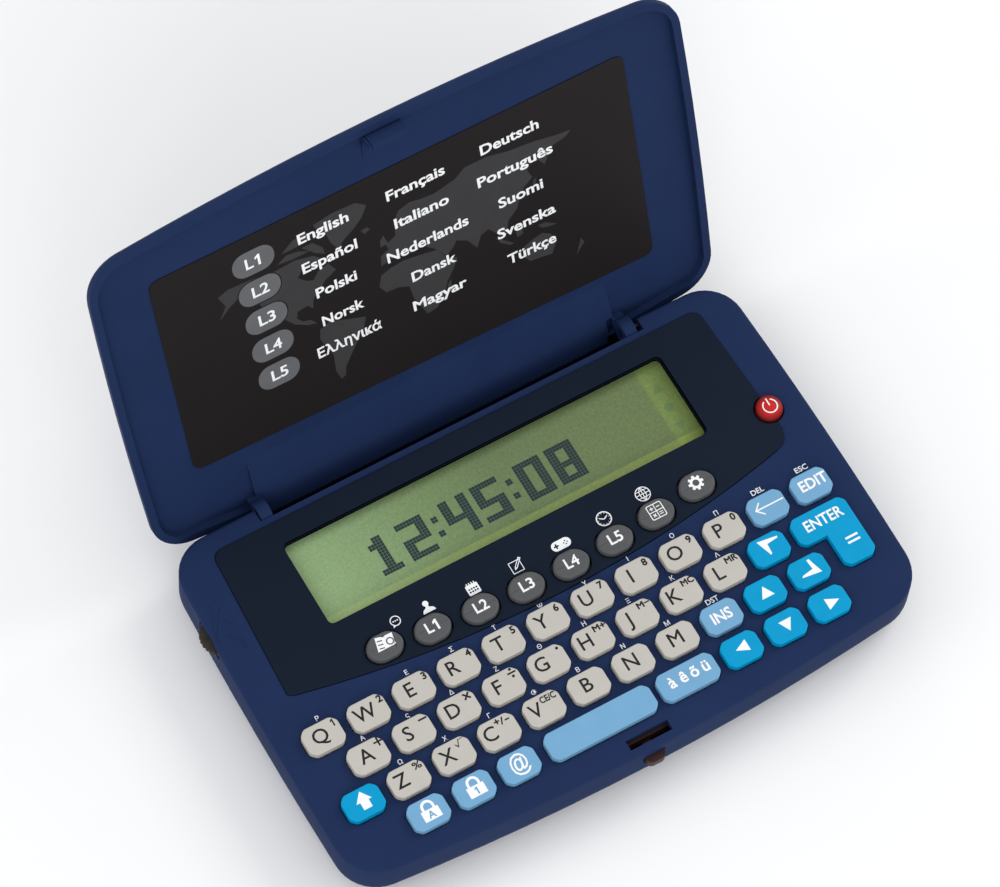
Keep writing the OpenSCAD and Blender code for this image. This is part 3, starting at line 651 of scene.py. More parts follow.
# Between its arms the flap is one flat slope, so the bar that joins them is milled off
# down to that slope. The cutter is made with the lid shut and then turned open.
FOLD = Vector(mm(0, 26.7, 14.25))
FLAP_START = Vector((0, 26.7, 14.24)) * MM
FLAP_END = Vector((0, 41.0, 12.59)) * MM
FLAP_TILT = Vector((0, (FLAP_START - FLAP_END).z, (FLAP_END - FLAP_START).y))


def choose(piece, kind, test):
    """In edit mode, select only the elements of one kind that pass the test."""
    bpy.ops.mesh.select_all(action="DESELECT")
    bpy.ops.mesh.select_mode(type=kind)
    mesh = bmesh.from_edit_mesh(piece.data)
    for element in {"EDGE": mesh.edges, "FACE": mesh.faces}[kind]:
        if test(element):
            element.select_set(True)
    bmesh.update_edit_mesh(piece.data)


def extrude(x, y, z):
    """In edit mode, pull the chosen faces out by that much."""
    bpy.ops.mesh.extrude_region_move(TRANSFORM_OT_translate={"value": (x, y, z)})


def trim(lower=True):
    """Cut the active block along the slope of the flap, and keep its lower or upper part."""
    edit()
    slice_all(FLAP_START, FLAP_TILT, use_fill=True, clear_outer=lower, clear_inner=not lower)
    leave()


bar_cutter = add_block(mm(-38.49, 33.5, 7), mm(36.9, 42, 14))
trim()
slot_cutter = add_block(mm(36.75, 35.4, 11), mm(37.98, 38.7, 14.2))
for cutter in (bar_cutter, slot_cutter):
    cutter.data.transform(closed_to_open)
    mill(lid_moulding, cutter)
fold_at = closed_to_open @ FOLD
for edge in lid_moulding.data.edges:
    ends = [lid_moulding.data.vertices[i].co for i in edge.vertices]
    if all(math.hypot(end.y - fold_at.y, end.z - fold_at.z) < 0.05 * MM for end in ends):
        edge.use_edge_sharp = True
smooth(lid_moulding, 30)

# The flap's foot ends straight, though the lid's back is bowed, and a black strip behind the foot
# closes the slit to the deck and the gaps beside the arms; its black is painted shade for the dark
# slit and gaps.
FOOT_LIFT = 0.004 * MM
TAB_X, TAB_DEPTH = 36.2 * MM, 1.6 * MM
flap_foot = add_block(mm(-38.45, 38.4, 12), mm(36.75, 41.0, 13.3))
trim(lower=False)
flap_foot.name = "flap_foot"
round_edges(flap_foot, 0.06 * MM)
flap_foot.data.transform(closed_to_open @ Matrix.Translation((0, 0, FOOT_LIFT)))
dress(flap_foot, "lid", case_blue)

slit_shade_strip = add_block(mm(-41.1, 40.35, 12.2), mm(41.55, 41.25, 12.5))
slit_shade_strip.name = "slit_shade_strip"
edit()
slice_all((TAB_X, 0, 0), (1, 0, 0))
choose(slit_shade_strip, "FACE", lambda f: f.normal.y < -0.9 and f.calc_center_median().x > TAB_X)
extrude(0, -TAB_DEPTH, 0)
leave()
# Near-black for the strip: painted shade in the slit to the deck and beside the arms.
shade_strip_black = finish("shade_strip_black", (0.003, 0.0035, 0.006, 1), 0.6, 0.1, 5 * MM, specular=0.02)
round_edges(slit_shade_strip, 0.05 * MM)
slit_shade_strip.data.transform(closed_to_open)
dress(slit_shade_strip, "lid", shade_strip_black)


# ---- printed card in the lid ----
# A black card lies in the lid. It names the language that each list key picks, over a
# grey map of the world, with L1 to L5 on grey fields at the left.
card_black = finish("card_black", (0.0135, 0.0105, 0.0112, 1), 0.5, 0.05, 25 * MM, 0.12 * MM,
                    0.003 * MM, specular=0.1)
worked_copy("lid_card", "lid_card_sheet", card_black, 0.05 * MM)

CARD_HEIGHT = 14.05
card_face = closed_to_open @ level(CARD_HEIGHT) @ Matrix.Rotation(math.pi, 4, "X")

LAND = {
    "north_america": [
        (-37, 15.5), (-34.7, 16.3), (-30.1, 16), (-25.1, 15.2), (-21.3, 15.5), (-17.6, 14.5),
        (-16.3, 13.3), (-18.4, 12), (-20.1, 12.7), (-21.3, 11), (-19.7, 9.3), (-18.4, 8.8),
        (-17.3, 10.3), (-15.1, 11), (-13.8, 8.7), (-16.3, 7.4), (-17.6, 6), (-19.3, 4.3),
        (-19.7, 2.2), (-20.7, 3.5), (-22.8, 3.2), (-23.2, 1.6), (-22.2, 0.3), (-20.7, -0.2),
        (-19.5, -1.8), (-21.3, -1.2), (-23.8, 0.5), (-25.9, 3.3), (-28.7, 6.6), (-29.5, 9.3),
        (-31.2, 11.8), (-33, 13.3), (-35.5, 11.8), (-37.6, 9.9), (-35.9, 12.7)],
    "greenland": [
        (-16.3, 21.6), (-12.2, 22.2), (-7.6, 22), (-5.5, 20.2), (-7, 17.8), (-8.8, 16.2),
        (-10.9, 14.9), (-12.6, 13.3), (-13.7, 15.5), (-14.3, 18.3), (-15.9, 20.2)],
    "arctic_west": [(-24.6, 16.4), (-22.6, 17.6), (-20.2, 17.2), (-18, 16), (-21.4, 16)],
    "arctic_east": [(-23.4, 18.4), (-21, 20.2), (-18.2, 21), (-17.4, 19.4), (-20.2, 18.4)],
    "baffin": [(-19.4, 17.6), (-17.2, 17.6), (-15.4, 15.4), (-15.2, 13.6), (-17, 14.9)],
    "iceland": [(-7.6, 14.9), (-6.2, 15), (-5.8, 14.2), (-7, 13.7)],
    "south_america": [
        (-19.3, -3.7), (-17.2, -2.8), (-13.8, -4.3), (-10.1, -5.9), (-10.9, -8.4), (-13, -11.3),
        (-14.7, -13.7), (-15.9, -15.5), (-16.3, -17.6), (-17.3, -18), (-18, -15.5),
        (-17.8, -11.3), (-19, -8), (-19.7, -5.9)],
    "africa": [
        (-5.5, 2), (-3.4, 2.7), (-0.5, 3), (3.7, 2.2), (6.2, 1.6), (7.8, -1.3), (9.9, -2.6),
        (8.8, -4.7), (7, -7.2), (6, -10.1), (4.1, -12.2), (2, -12.6), (1, -10.1),
        (-0.1, -7.2), (-0.5, -3.8), (-2.6, -2.8), (-5.1, -2.6), (-6.3, -0.5)],
    "madagascar": [(6.9, -8.2), (7.8, -7), (7.7, -9), (7.1, -10.2)],
    "britain": [(-4.3, 10.4), (-3.5, 11.2), (-2.9, 8.8), (-4.5, 8.7)],
    "eurasia": [
        (-5.1, 4.1), (-4.8, 6.6), (-3, 7.4), (-3.4, 8.7), (-1.2, 9.8), (-0.9, 13.2), (0.3, 15.3),
        (2.8, 16), (4.9, 15.5), (7.8, 15.2), (12.4, 16.2), (14.5, 17.8), (19.1, 17.8),
        (23.7, 16.6), (28.7, 16), (33.7, 14.9), (36.6, 14.5), (35.3, 13.5), (32, 12.8),
        (30.3, 9.3), (29.1, 11.2), (27.8, 11.8), (26.6, 9.9), (27.4, 7.8), (25.3, 6.2),
        (24.1, 4.1), (23.3, 2), (21.2, 0.3), (20.8, -1.3), (19.5, -3.4), (18.3, -1.3),
        (17, 0.5), (15.3, -0.1), (14.1, -2.6), (12.4, 0.3), (10.3, 1.6), (9.5, 0.3),
        (7.8, -0.9), (5.8, 2.2), (3.7, 4.1), (1.2, 4.1), (0.3, 5.3), (-0.9, 4.3), (-3, 4.9)],
    "japan": [(27.6, 6.9), (28.2, 7.2), (27.6, 5.2), (26.7, 4.4), (27, 5.4)],
    "sumatra": [(18.2, -2.6), (19.8, -4.2), (21.6, -6), (20.6, -5.8), (18.8, -4.2)],
    "borneo": [(22.2, -3.2), (23.8, -2.6), (23.6, -4.6), (22.4, -4.9)],
    "new_guinea": [(26.8, -4.4), (28.4, -4.6), (30.6, -6.2), (29, -6), (27.4, -5.4)],
    "australia": [
        (23.3, -8), (25.3, -7.2), (27.4, -6.8), (29.1, -8), (29.9, -10.5), (28.7, -13),
        (26.6, -12.6), (24.1, -12.2), (22.8, -10.1)],
    "new_zealand": [(34.9, -12.6), (35.5, -14), (33.5, -16.2), (34.1, -14.7)],
}
map_grey = finish("map_grey", (0.043, 0.042, 0.044, 1), 0.5, 0.05, 3 * MM, specular=0.1)
pill_grey = finish("pill_grey", (0.125, 0.127, 0.135, 1), 0.5, 0.05, 3 * MM, specular=0.1)
printed("card_map", [drawn([coast]) for coast in LAND.values()], card_face, "lid",
        map_grey)


def list_mark(number, x, y, cap, weight, wide, layer=0):
    """L1 to L5, as on the card and on the oval keys."""
    if number > 1:
        return [letters("L%d" % number, x, y, cap, weight, wide, layer)]
    return [letters("L", x - 0.29 * wide, y, cap, weight, layer=layer),
            numeral_one(x + 0.29 * wide, y, cap, 2.2 * weight + 0.13 * cap, layer)]


LIST_ROWS = [19.9, 12.6, 5.3, -2.0, -9.2]
PILL_X = -28.9
LANGUAGES = [[("English", 10.5), ("Français", 12.2), ("Deutsch", 12.3)],
             [("Español", 11.4), ("Italiano", 11.4), ("Português", 15.9)],
             [("Polski", 8.5), ("Nederlands", 17.1), ("Suomi", 9.5)],
             [("Norsk", 8.7), ("Dansk", 9.4), ("Svenska", 12.4)],
             [("Ελληνικά", 13.4), ("Magyar", 11.4), ("Türkçe", 10.4)]]
LANGUAGE_X = [-14.6, 4.6, 24.3]
ROW_SHIFT = 0.13
printed("card_pill_rims", [drawn([pill(PILL_X, y, 9.0, 6.3, 2.9)], 1) for y in LIST_ROWS],
        card_face, "lid", card_black)
printed("card_pills", [drawn([pill(PILL_X, y, 8.5, 5.8, 2.65)], 2) for y in LIST_ROWS],
        card_face, "lid", pill_grey)
card_words = []
for i, y in enumerate(LIST_ROWS):
    card_words += list_mark(i + 1, PILL_X + 0.15, y, 2.6, 0.08, 3.45, 3)
for i, row in enumerate(LANGUAGES):
    for x, (word, wide) in zip(LANGUAGE_X, row):
        card_words.append(letters(word, x + ROW_SHIFT * i, LIST_ROWS[i] - 0.1, 2.5, 0.1, wide, 3))
printed("card_words", card_words, card_face, "lid", white_ink)


# ---- keycaps ----
# Hard caps moulded in coloured ABS: a flat top with a softened rim, cut corners and a
# lip under the deck. Letter keys come in pairs on a thin web that the deck hides.
LIP = 0.5 * MM
LIP_DEPTH = 0.85 * MM
CAP_CUT = 1.1 * MM
CAP_SOFT = 0.4 * MM
CAP_RIM = 0.2 * MM
key_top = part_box("key_l")[1].z
lip_low = key_top - 3.75 * MM
lip_top = lip_low + LIP_DEPTH
WEB_HALF, WEB_THICK = 1.5 * MM, 0.5 * MM
SHEER = 20


def upright(edge):
    """Whether an edge goes up the side of a block."""
    a, b = edge.verts
    return abs(a.co.z - b.co.z) > 0.5 * MM


def cut_corners(piece, cut, soft):
    """Bevel the upright corners, then soften the corners that the bevel leaves."""
    choose(piece, "EDGE", lambda e: upright(e) and e.is_convex)
    bpy.ops.mesh.bevel(offset=cut, segments=1, affect="EDGES")
    choose(piece, "EDGE", lambda e: (upright(e) and e.is_convex
                                     and e.calc_face_angle(0) > math.radians(SHEER)))
    bpy.ops.mesh.bevel(offset=soft, segments=2, affect="EDGES")


def soften_top(piece, rim):
    """Round the rim of the top face."""
    choose(piece, "EDGE", lambda e: (min(v.co.z for v in e.verts) > key_top - 0.01 * MM
                                     and e.calc_face_angle(0) > math.radians(60)))
    bpy.ops.mesh.bevel(offset=rim, segments=3, affect="EDGES")


def grow_lip(piece, width, depth):
    """Widen the bottom face into the lip that holds the cap under the deck."""
    choose(piece, "FACE", lambda f: max(v.co.z for v in f.verts) < lip_top + 0.01 * MM)
    extrude(0, 0, 0)
    bpy.ops.transform.resize(value=((width + 2 * LIP) / width, (depth + 2 * LIP) / depth, 1),
                             center_override=(0, 0, lip_top))
    extrude(0, 0, -LIP_DEPTH)


def keycap(width, depth):
    """One cap with cut corners, centred on the origin."""
    piece = add_block((-width / 2, -depth / 2, lip_top), (width / 2, depth / 2, key_top))
    edit()
    cut_corners(piece, CAP_CUT, CAP_SOFT)
    soften_top(piece, CAP_RIM)
    grow_lip(piece, width, depth)
    leave()
    return piece


def oval_cap(width, depth):
    """One cap with round ends, centred on the origin."""
    piece = add_block((-width / 2, -depth / 2, lip_top), (width / 2, depth / 2, key_top))
    edit()
    choose(piece, "EDGE", upright)
    bpy.ops.mesh.bevel(offset=depth / 2 - 0.01 * MM, segments=12, profile=0.46, affect="EDGES")
    soften_top(piece, 0.5 * MM)
    grow_lip(piece, width, depth)
    leave()
    return piece


def moved_copy(master, name, x, y):
    """A copy of the master with its own mesh, with its middle at x and y."""
    copy = bpy.data.objects.new(name, master.data.copy())
    bpy.context.collection.objects.link(copy)
    copy.data.transform(Matrix.Translation((x, y, 0)))
    return copy


def settle(piece, node, material):
    """Even out the shading, give the finish, and let the cap stand for its node."""
    smooth(piece, 50)
    piece.modifiers.new("even", "WEIGHTED_NORMAL").keep_sharp = True
    apply_modifiers(piece)
    dress(piece, nodes[node]["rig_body"], material)
    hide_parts(node)


def key_finish(name, colour, mottle, specular):
    """The satin finish of the caps."""
    return finish(name, colour, 0.5, mottle, 3 * MM, 0.18 * MM, 0.006 * MM, specular)


def cap_place(node):
    """Middle of a key in x and y, and the width and depth of its cap without the lip."""
    low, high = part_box(node)
    return ((low.x + high.x) / 2, (low.y + high.y) / 2,
            high.x - low.x - 2 * LIP, high.y - low.y - 2 * LIP)


key_grey = key_finish("key_grey", srgb(191, 187, 179), 0.02, 0.15)
key_pale = key_finish("key_pale_blue", srgb(116, 166, 202), 0.02, 0.15)
key_sky = key_finish("key_sky_blue", srgb(0, 151, 201), 0.03, 0.12)
oval_grey = key_finish("oval_grey", srgb(87, 88, 90), 0.03, 0.12)

PAIRS = ("keys_q_w", "keys_e_r", "keys_t_y", "keys_u_i", "keys_o_p", "keys_a_s", "keys_d_f",
         "keys_g_h", "keys_j_k", "keys_z_x", "keys_c_v", "keys_b_n")
key_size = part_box("key_l")[1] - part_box("key_l")[0] - Vector((2 * LIP, 2 * LIP, 0))
key_centre = {}
letter_cap = keycap(key_size.x, key_size.y)
for node in PAIRS:
    low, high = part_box(node)
    y = (low.y + high.y) / 2
    left = low.x + LIP + key_size.x / 2
    right = high.x - LIP - key_size.x / 2
    caps = [moved_copy(letter_cap, node + "_cap", x, y) for x in (left, right)]
    caps.append(add_block((left, y - WEB_HALF, lip_low),
                          (right, y + WEB_HALF, lip_low + WEB_THICK)))
    settle(join(caps, node + "_caps"), node, key_grey)
    first, second = node[5:].split("_")
    key_centre[first] = (left / MM, y / MM)
    key_centre[second] = (right / MM, y / MM)

SINGLES = {"key_l": (key_grey, "key_grey"), "key_m": (key_grey, "key_grey")}
for node in ("key_delete", "key_edit", "key_insert", "key_lock_letters", "key_lock_digits",
             "key_at", "key_space", "key_accents"):
    SINGLES[node] = (key_pale, "key_pale_blue")
for node in ("key_page_up", "key_shift", "key_up", "key_page_down", "key_left", "key_down",
             "key_right"):
    SINGLES[node] = (key_sky, "key_sky_blue")
for node, (material, slot) in SINGLES.items():
    x, y, width, depth = cap_place(node)
    if abs(width - key_size.x) < 0.01 * MM:
        cap = moved_copy(letter_cap, node + "_cap", x, y)
    else:
        wide_cap = keycap(width, depth)
        cap = moved_copy(wide_cap, node + "_cap", x, y)
        bpy.data.objects.remove(wide_cap)
    settle(cap, node, material)
    key_centre[node[4:]] = (x / MM, y / MM)
bpy.data.objects.remove(letter_cap)

OVALS = ("dictionary", "list_1", "list_2", "list_3", "list_4", "list_5", "calculator", "settings")
oval_master = oval_cap(*cap_place("key_list_1")[2:])
for name in OVALS:
    node = "key_" + name
    x, y = cap_place(node)[:2]
    settle(moved_copy(oval_master, node + "_cap", x, y), node, oval_grey)
    key_centre[name] = (x / MM, y / MM)
bpy.data.objects.remove(oval_master)


# ---- enter key ----
# One sky-blue cap that covers two rows, with a notch at its lower left. It is moulded
# like the other caps, with the same cut corners and the same lip under the deck.
ENTER_NOTCH = mm(49.3, -18.8)


def notched_block(low, high, notch):
    """A block whose lower left corner is left out, open in edit mode."""
    piece = add_block((low[0], notch[1], low[2]), high)
    edit()
    slice_all((notch[0], 0, 0), (1, 0, 0))
    choose(piece, "FACE", lambda f: f.normal.y < -0.9 and f.calc_center_median().x > notch[0])
    extrude(0, low[1] - notch[1], 0)
    bpy.ops.mesh.select_all(action="SELECT")
    bpy.ops.mesh.remove_doubles(threshold=0.001 * MM)
    bpy.ops.mesh.dissolve_limited(angle_limit=math.radians(1))
    return piece


low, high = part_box("key_enter")
enter_cap = notched_block((low.x + LIP, low.y + LIP, lip_top),
                          (high.x - LIP, high.y - LIP, key_top), ENTER_NOTCH)
cut_corners(enter_cap, CAP_CUT, CAP_SOFT)
soften_top(enter_cap, CAP_RIM)
leave()
enter_lip = notched_block((low.x, low.y, lip_low), (high.x, high.y, lip_top),
                          (ENTER_NOTCH[0] - LIP, ENTER_NOTCH[1] - LIP))
cut_corners(enter_lip, CAP_CUT, CAP_SOFT)
leave()
settle(join([enter_cap, enter_lip], "key_enter_cap"), "key_enter", key_sky)


# ---- power button ----
# A round red dome of smooth ABS that comes up through the deck and is pressed like a key.
# It is painted darker towards its foot, as painted shade on the dome's sloping sides.
power_red = finish("power_red", srgb(196, 34, 34), 0.4, 0.04, 3 * MM, 0.12 * MM, 0.004 * MM,
                   specular=0.15)
# The red is ramped from the middle of the top outwards, darker to the foot: painted shade for the
# dome's sloping sides.
DOME_REACH = (0, 4)
DOME_SHADE_TONES = ((1.5, srgb(198, 36, 31)), (2.6, srgb(108, 21, 19)))
low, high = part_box("power_button")
tree = power_red.node_tree
radius = tree.nodes.new("ShaderNodeVectorMath")
radius.operation = "DISTANCE"
radius.inputs[1].default_value = ((low.x + high.x) / 2, (low.y + high.y) / 2, high.z)
wire(tree.nodes["Texture Coordinate"], "Object", radius, 0)
dome = ramp(tree, radius.outputs["Value"], *DOME_REACH, DOME_SHADE_TONES)
wire(dome, "Color", tree.nodes["Principled BSDF"], "Base Color")
worked_copy("power_button", "power_dome", power_red, 0.25 * MM, 3)


# ---- key legends ----
# Each letter stands left of its key's middle, with a small digit or sign at the upper
# right. Greek letters stand on the deck behind the keys that type them.
LETTER_X = dict(zip("qwertyuiopasdfghjklzxcvbnm", (
    -0.5, -0.65, -0.7, -1.1, -0.95, -1.3, -1.2, -1.2, -1.1, -1.0, -0.4, -1.1, -1.15, -1.15, -1.4,
    -1.5, -1.85, -1.45, -1.2, -1.4, -1.2, -1.75, -1.6, -0.3, -0.4, -0.3)))
DIGIT_X = dict(zip("qwertyuiop", zip("1234567890", (
    2.85, 3.0, 2.9, 2.75, 2.7, 2.45, 2.5, 2.5, 2.6, 2.7))))
GREEK = dict(zip("qertyuiopasdfghjklzxcvbnm", zip("ΡΕΣΤΨΥΙΟΠΑςΔΖΘΗΞΚΛΩΧΓΦΒΝΜ", (
    1.0, 0.75, 0.75, 0.35, 0.5, 0.5, 0.5, 0.65, 0.75, 1.0, 0.85, 0.7, 0.7, 0.45, 0.45, 0.45,
    0.45, 0.7, 0.5, 0.4, 0.25, 0.25, 0.1, 0.25, 0.25))))
# Small signs at the upper right, as outlines in layers round the key's middle, and small
# words there: the text, its place, height, weight and width.
SUM_SIGNS = {
    "a": [[bar(1.93, 1.7, 3.77, 1.7, 0.34)], [bar(2.85, 0.8, 2.85, 2.6, 0.34)]],
    "s": [[bar(1.77, 1.63, 3.5, 1.63, 0.36)]],
    "d": [[bar(1.85, 0.98, 3.05, 2.22, 0.36)], [bar(1.85, 2.22, 3.05, 0.98, 0.36)]],
    "f": [[bar(1.6, 1.63, 3.33, 1.63, 0.34), disc(2.47, 2.38, 0.29, 12),
           disc(2.47, 0.88, 0.29, 12)]],
    "g": [[disc(2.7, 1.83, 0.3, 12)]],
    "x": [[[(0.9, 1.62), (1.2, 1.72), (1.5, 1.2), (1.95, 2.42), (2.9, 2.42), (2.9, 2.28),
            (2.08, 2.28), (1.6, 0.95), (1.38, 0.95), (1.1, 1.52)]]],
    "c": [[bar(1.15, 0.95, 1.75, 2.4, 0.27), bar(2.0, 1.5, 2.9, 1.5, 0.3)]],
}
SUM_WORDS = {"z": ("%", 2.53, 1.63, 1.45, 0.045, 1.75), "c": ("+", 0.5, 1.9, 1.5, 0.07, 1.1),
             "v": ("CE/C", 1.57, 1.6, 1.35, 0.06, 3.2)}
for mark, word in zip("hjkl", ("M+", "M−", "MC", "MR")):
    SUM_WORDS[mark] = (word, 2.2, 1.77, 1.3, 0.065, 2.6)
LETTER_LIFT, LETTER_CAP, LETTER_WEIGHT = 0.3, 2.85, 0.035
DIGIT_LIFT, DIGIT_CAP, DIGIT_WEIGHT = 1.55, 1.5, 0.075
PANEL_BOW, PANEL_FRONT = 238, -4.4
GREEK_BEHIND, GREEK_GAP = 4.07, 0.53
cap_face = level(key_top / MM)
deck_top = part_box("upper_case")[1].z / MM

letter_nodes = {node: node[5:].split("_") for node in PAIRS}
letter_nodes["key_l"] = ["l"]
letter_nodes["key_m"] = ["m"]
deck_words = []
for node, marks in letter_nodes.items():
    parts = []
    for mark in marks:
        x, y = key_centre[mark]
        parts.append(letters(mark.upper(), x + LETTER_X[mark], y + LETTER_LIFT, LETTER_CAP,
                             LETTER_WEIGHT))
        if mark in SUM_WORDS:
            word, dx, dy, cap, weight, wide = SUM_WORDS[mark]
            parts.append(letters(word, x + dx, y + dy, cap, weight, wide))
        for layer, outlines in enumerate(SUM_SIGNS.get(mark, [])):
            parts.append(drawn(shifted(outlines, x, y), layer))
        if mark in DIGIT_X:
            digit, dx = DIGIT_X[mark]
            place = (x + dx, y + DIGIT_LIFT, DIGIT_CAP)
            parts.append(numeral_one(*place, 0.3) if digit == "1"
                         else letters(digit, *place, DIGIT_WEIGHT))
        if mark in GREEK:
            sign, dx = GREEK[mark]
            panel_edge = PANEL_BOW - math.sqrt(PANEL_BOW ** 2 - (x + dx) ** 2) + PANEL_FRONT
            sign_y = min(y + GREEK_BEHIND, panel_edge - GREEK_GAP)
            deck_words.append(letters(sign, x + dx, sign_y, 0.96, 0.02))
    printed(node + "_legend", parts, cap_face, nodes[node]["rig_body"], black_ink)

for word, x, y in (("DEL", 42.97, -4.27), ("ESC", 52.6, -4.27), ("DST", 24.05, -19.27)):
    deck_words.append(letters(word, x, y, 1.1, 0.03, 2.65))
printed("deck_legends", deck_words, level(deck_top), "base", white_ink)


def legend(name, parts, ink=white_ink, what="legend"):
    """Print the parts on top of one command key."""
    node = "key_" + name
    printed("%s_%s" % (node, what), parts, cap_face, nodes[node]["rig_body"], ink)


# Arrows, each as its outline where it stands over the deck.
ARROWS = {
    "up": [(33.23, -21.83), (34.57, -24.2), (31.9, -24.2)],
    "down": [(32.0, -29.6), (34.67, -29.6), (33.27, -32.0)],
    "left": [(22.27, -30.57), (24.83, -29.33), (24.83, -31.73)],
    "right": [(41.9, -29.6), (44.5, -30.83), (41.9, -32.0)],
    "page_up": [(36.93, -13.73), (41.0, -14.33), (40.93, -14.67), (38.57, -14.93),
                (38.43, -16.93), (38.1, -17.17)],
    "page_down": [(44.67, -24.6), (43.67, -21.23), (43.17, -21.33), (43.33, -23.33),
                  (40.93, -23.73), (40.73, -24.07)],
    "shift": [(-52.1, -21.1), (-50.6, -23.17), (-51.27, -23.17), (-51.27, -24.73),
              (-53.0, -24.73), (-53.0, -23.17), (-53.77, -23.17)],
}
for name, outline in ARROWS.items():
    legend(name, [drawn([outline])])
back_arrow = [drawn([bar(40.35, -8.23, 46.1, -8.23, 0.27)]),
              drawn([[(40.0, -8.23), (41.42, -6.86), (41.6, -7.05), (40.38, -8.23),
                      (41.6, -9.45), (41.42, -9.64)]], 1)]
legend("delete", back_arrow)
for name, word, x, y, cap, weight, wide in (
        ("edit", "EDIT", 52.75, -8.12, 2.3, 0.1, 5.8),
        ("insert", "INS", 23.63, -23.2, 2.3, 0.1, 4.15),
        ("at", "@", -23.87, -30.24, 3.3, 0.05, 3.6)):
    legend(name, [letters(word, x, y, cap, weight, wide)])
ACCENTS = (("à", 8.7), ("ê", 11.1), ("õ", 13.4), ("ü", 15.8))
legend("accents", [letters(mark, x, -30.25, 2.4, 0.1) for mark, x in ACCENTS])


def padlock(x, y):
    """A closed padlock: one outline round body and shackle, and the shackle's opening."""
    outer = ([(x - 1.75, y - 2.15), (x + 1.75, y - 2.15), (x + 1.75, y), (x + 1.32, y)]
             + arc(x, y + 0.55, 1.32, 0, 180) + [(x - 1.32, y), (x - 1.75, y)])
    inner = [(x + 0.8, y)] + arc(x, y + 0.55, 0.8, 0, 180) + [(x - 0.8, y)]
    return [outer, inner]


for name, mark, x, y in (("lock_letters", "A", -42.7, -30.2), ("lock_digits", "1", -33.2, -30.2)):
    legend(name, [drawn(padlock(x, y))], what="lock")
    sign = (numeral_one(x + 0.1, y - 1.1, 1.5, 0.32, 1) if mark == "1"
            else letters(mark, x, y - 1.1, 1.5, 0.05, layer=1))
    legend(name, [sign], key_pale, "mark")

enter_words = [letters("ENTER", 50.47, -15.55, 2.3, 0.075, 8.1),
               drawn([bar(51.9, -21.1, 54.5, -21.1, 0.45), bar(51.9, -22.1, 54.5, -22.1, 0.45)])]
legend("enter", enter_words)
for i in range(1, 6):
    x, y = key_centre["list_%d" % i]
    legend("list_%d" % i, list_mark(i, x + 0.17, y + 0.22, 2.2, 0.07, 2.8))

# An open book: two pages with printed lines, and a lens with its handle over the right page.
BOOK = [[(-1.35, 1.8), (-0.3, 1.5), (0.15, 1.2), (0.7, 1.4), (2.05, 1.35), (1.4, -1.65),
         (0.4, -1.6), (-0.3, -1.7), (-0.9, -1.5), (-2.05, -1.05)],
        disc(0.95, -0.02, 0.78), disc(0.95, -0.02, 0.52), bar(1.45, -0.55, 1.62, -0.95, 0.3)]
BOOK += [bar(-1.3 - 0.12 * i, 0.95 - 0.75 * i, -0.3 - 0.12 * i, 0.75 - 0.75 * i, 0.24)
         for i in range(3)]
x, y = key_centre["dictionary"]
legend("dictionary", [drawn(shifted(BOOK, x + 0.3, y + 0.35))])

x, y = key_centre["calculator"]
sums = [[pill(0, 0, 3.15, 3.15, 0.35), pill(0, 0, 2.8, 2.8, 0.2)],
        [bar(-1.45, 0, 1.45, 0, 0.16), bar(-1.08, 0.72, -0.32, 0.72, 0.17),
         bar(0.32, 0.72, 1.08, 0.72, 0.17), bar(-1.0, -0.42, -0.4, -1.02, 0.17),
         bar(0.32, -0.5, 1.08, -0.5, 0.15), bar(0.32, -0.9, 1.08, -0.9, 0.15)],
        [bar(0, -1.45, 0, 1.45, 0.16), bar(-0.7, 0.34, -0.7, 1.1, 0.17),
         bar(-1.0, -1.02, -0.4, -0.42, 0.17)]]
legend("calculator", [drawn(shifted(part, x + 0.17, y + 0.3), layer)
                      for layer, part in enumerate(sums)])

x, y = key_centre["settings"]
cog = []
for i in range(8):
    for a, r in ((-15, 1.15), (-9, 1.55), (9, 1.55), (15, 1.15)):
        turn = math.radians(45 * i + a)
        cog.append((r * math.cos(turn), r * math.sin(turn)))
legend("settings", [drawn(shifted([cog, disc(0, 0, 0.66)], x, y + 0.37))])

# The power sign lies just above the top of the red dome.
SIGN_X, SIGN_Y, SIGN_LINE, SIGN_RISE = 53.85, 9.15, 0.26, 0.004
power_sign = [drawn([arc_band(SIGN_X, SIGN_Y, 1.38, SIGN_LINE, 118, 422, 28)]),
              drawn([bar(SIGN_X, 9.3, SIGN_X, 10.85, SIGN_LINE)])]
power_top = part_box("power_button")[1].z / MM + SIGN_RISE
printed("power_sign", power_sign, level(power_top), "power_button", white_ink)


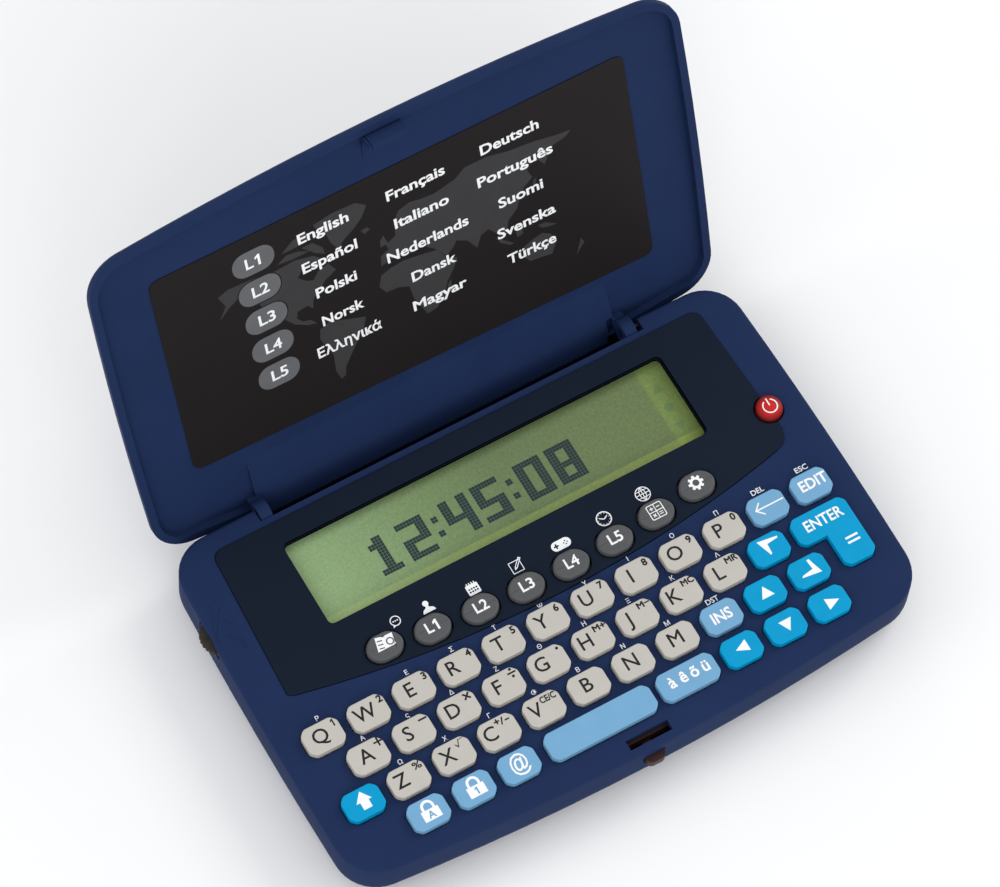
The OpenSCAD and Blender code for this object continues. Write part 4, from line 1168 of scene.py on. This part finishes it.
# ---- contrast wheel and its marks ----
# A ribbed wheel of black plastic looks out of the left wall. Low moulded marks on the deck
# beside it show which way it turns.
wheel_black = finish("wheel_black", srgb(46, 40, 33), 0.5, 0.3, 1.2 * MM, 0.1 * MM, 0.01 * MM)
worked_copy("contrast_wheel", "contrast_wheel_rim", wheel_black, 0.05 * MM)
TURN_MARK = [(-55.6, 24.7), (-55.6, 23.1), (-56.6, 23.4), (-57.9, 21.6), (-59.2, 19.2),
             (-59.9, 17.6), (-59.3, 20.2), (-58.4, 22.4), (-57.7, 23.7), (-57.9, 24.4)]
low_marks = [TURN_MARK, bar(-56.8, 20.7, -55.7, 19.6, 0.3), bar(-57.9, 18.3, -56.6, 16.3, 0.3),
             bar(-56.0, 16.3, -55.8, 14.2, 0.3)]
printed("wheel_marks", [drawn([mark], rise=0.1 * MM) for mark in low_marks], level(deck_top),
        "base", case_blue)


# ---- latch ----
# One red-brown slider: its button comes through the front wall and its hook stands in the
# slot of the deck. A steel coil behind it pushes it forward.
latch_brown = finish("latch_brown", srgb(52, 28, 28), 0.45, 0.08, 3 * MM, 0.12 * MM, 0.006 * MM)
worked_copy("latch_button", "latch_slider", latch_brown, 0.12 * MM)

# The coil gets a mesh of its own. On the real latch it is pressed from 3.66 mm down to 2.64 mm when
# the slider goes in by 1 mm, and its back end stays on the stop in the lower case.
steel = finish("plated_steel", (0.55, 0.56, 0.58, 1), 0.3, 0.05, 2 * MM, metallic=1)
latch_coil = worked_copy("latch_spring", "latch_coil", steel)
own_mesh(latch_coil)


# ---- inside of the case ----
# Parts that only an opened case shows keep the frame's shapes: the board, its screws, the
# rubber mat, the cells and their contacts, each in its own material.
INSIDE = {
    "lcd_frame": finish("black_plastic", (0.02, 0.02, 0.022, 1), 0.5),
    "lcd_connector": finish("strip_rubber", (0.5, 0.18, 0.2, 1), 0.7),
    "main_board": finish("board_green", (0.015, 0.1, 0.035, 1), 0.35, 0.15, 2 * MM),
    "keypad_mat": finish("mat_rubber", (0.33, 0.34, 0.34, 1), 0.7),
    "buzzer": finish("brass_disc", (0.7, 0.5, 0.2, 1), 0.35, metallic=1),
    "hinge_pins": finish("blued_steel", (0.05, 0.055, 0.07, 1), 0.4, 0.05, 2 * MM, metallic=1),
}
INSIDE["wheel_spindle"] = INSIDE["lcd_frame"]
for node in ("board_screws", "coin_cells", "battery_contacts", "case_screws"):
    INSIDE[node] = steel
for node, material in INSIDE.items():
    coat(nodes[node], material)
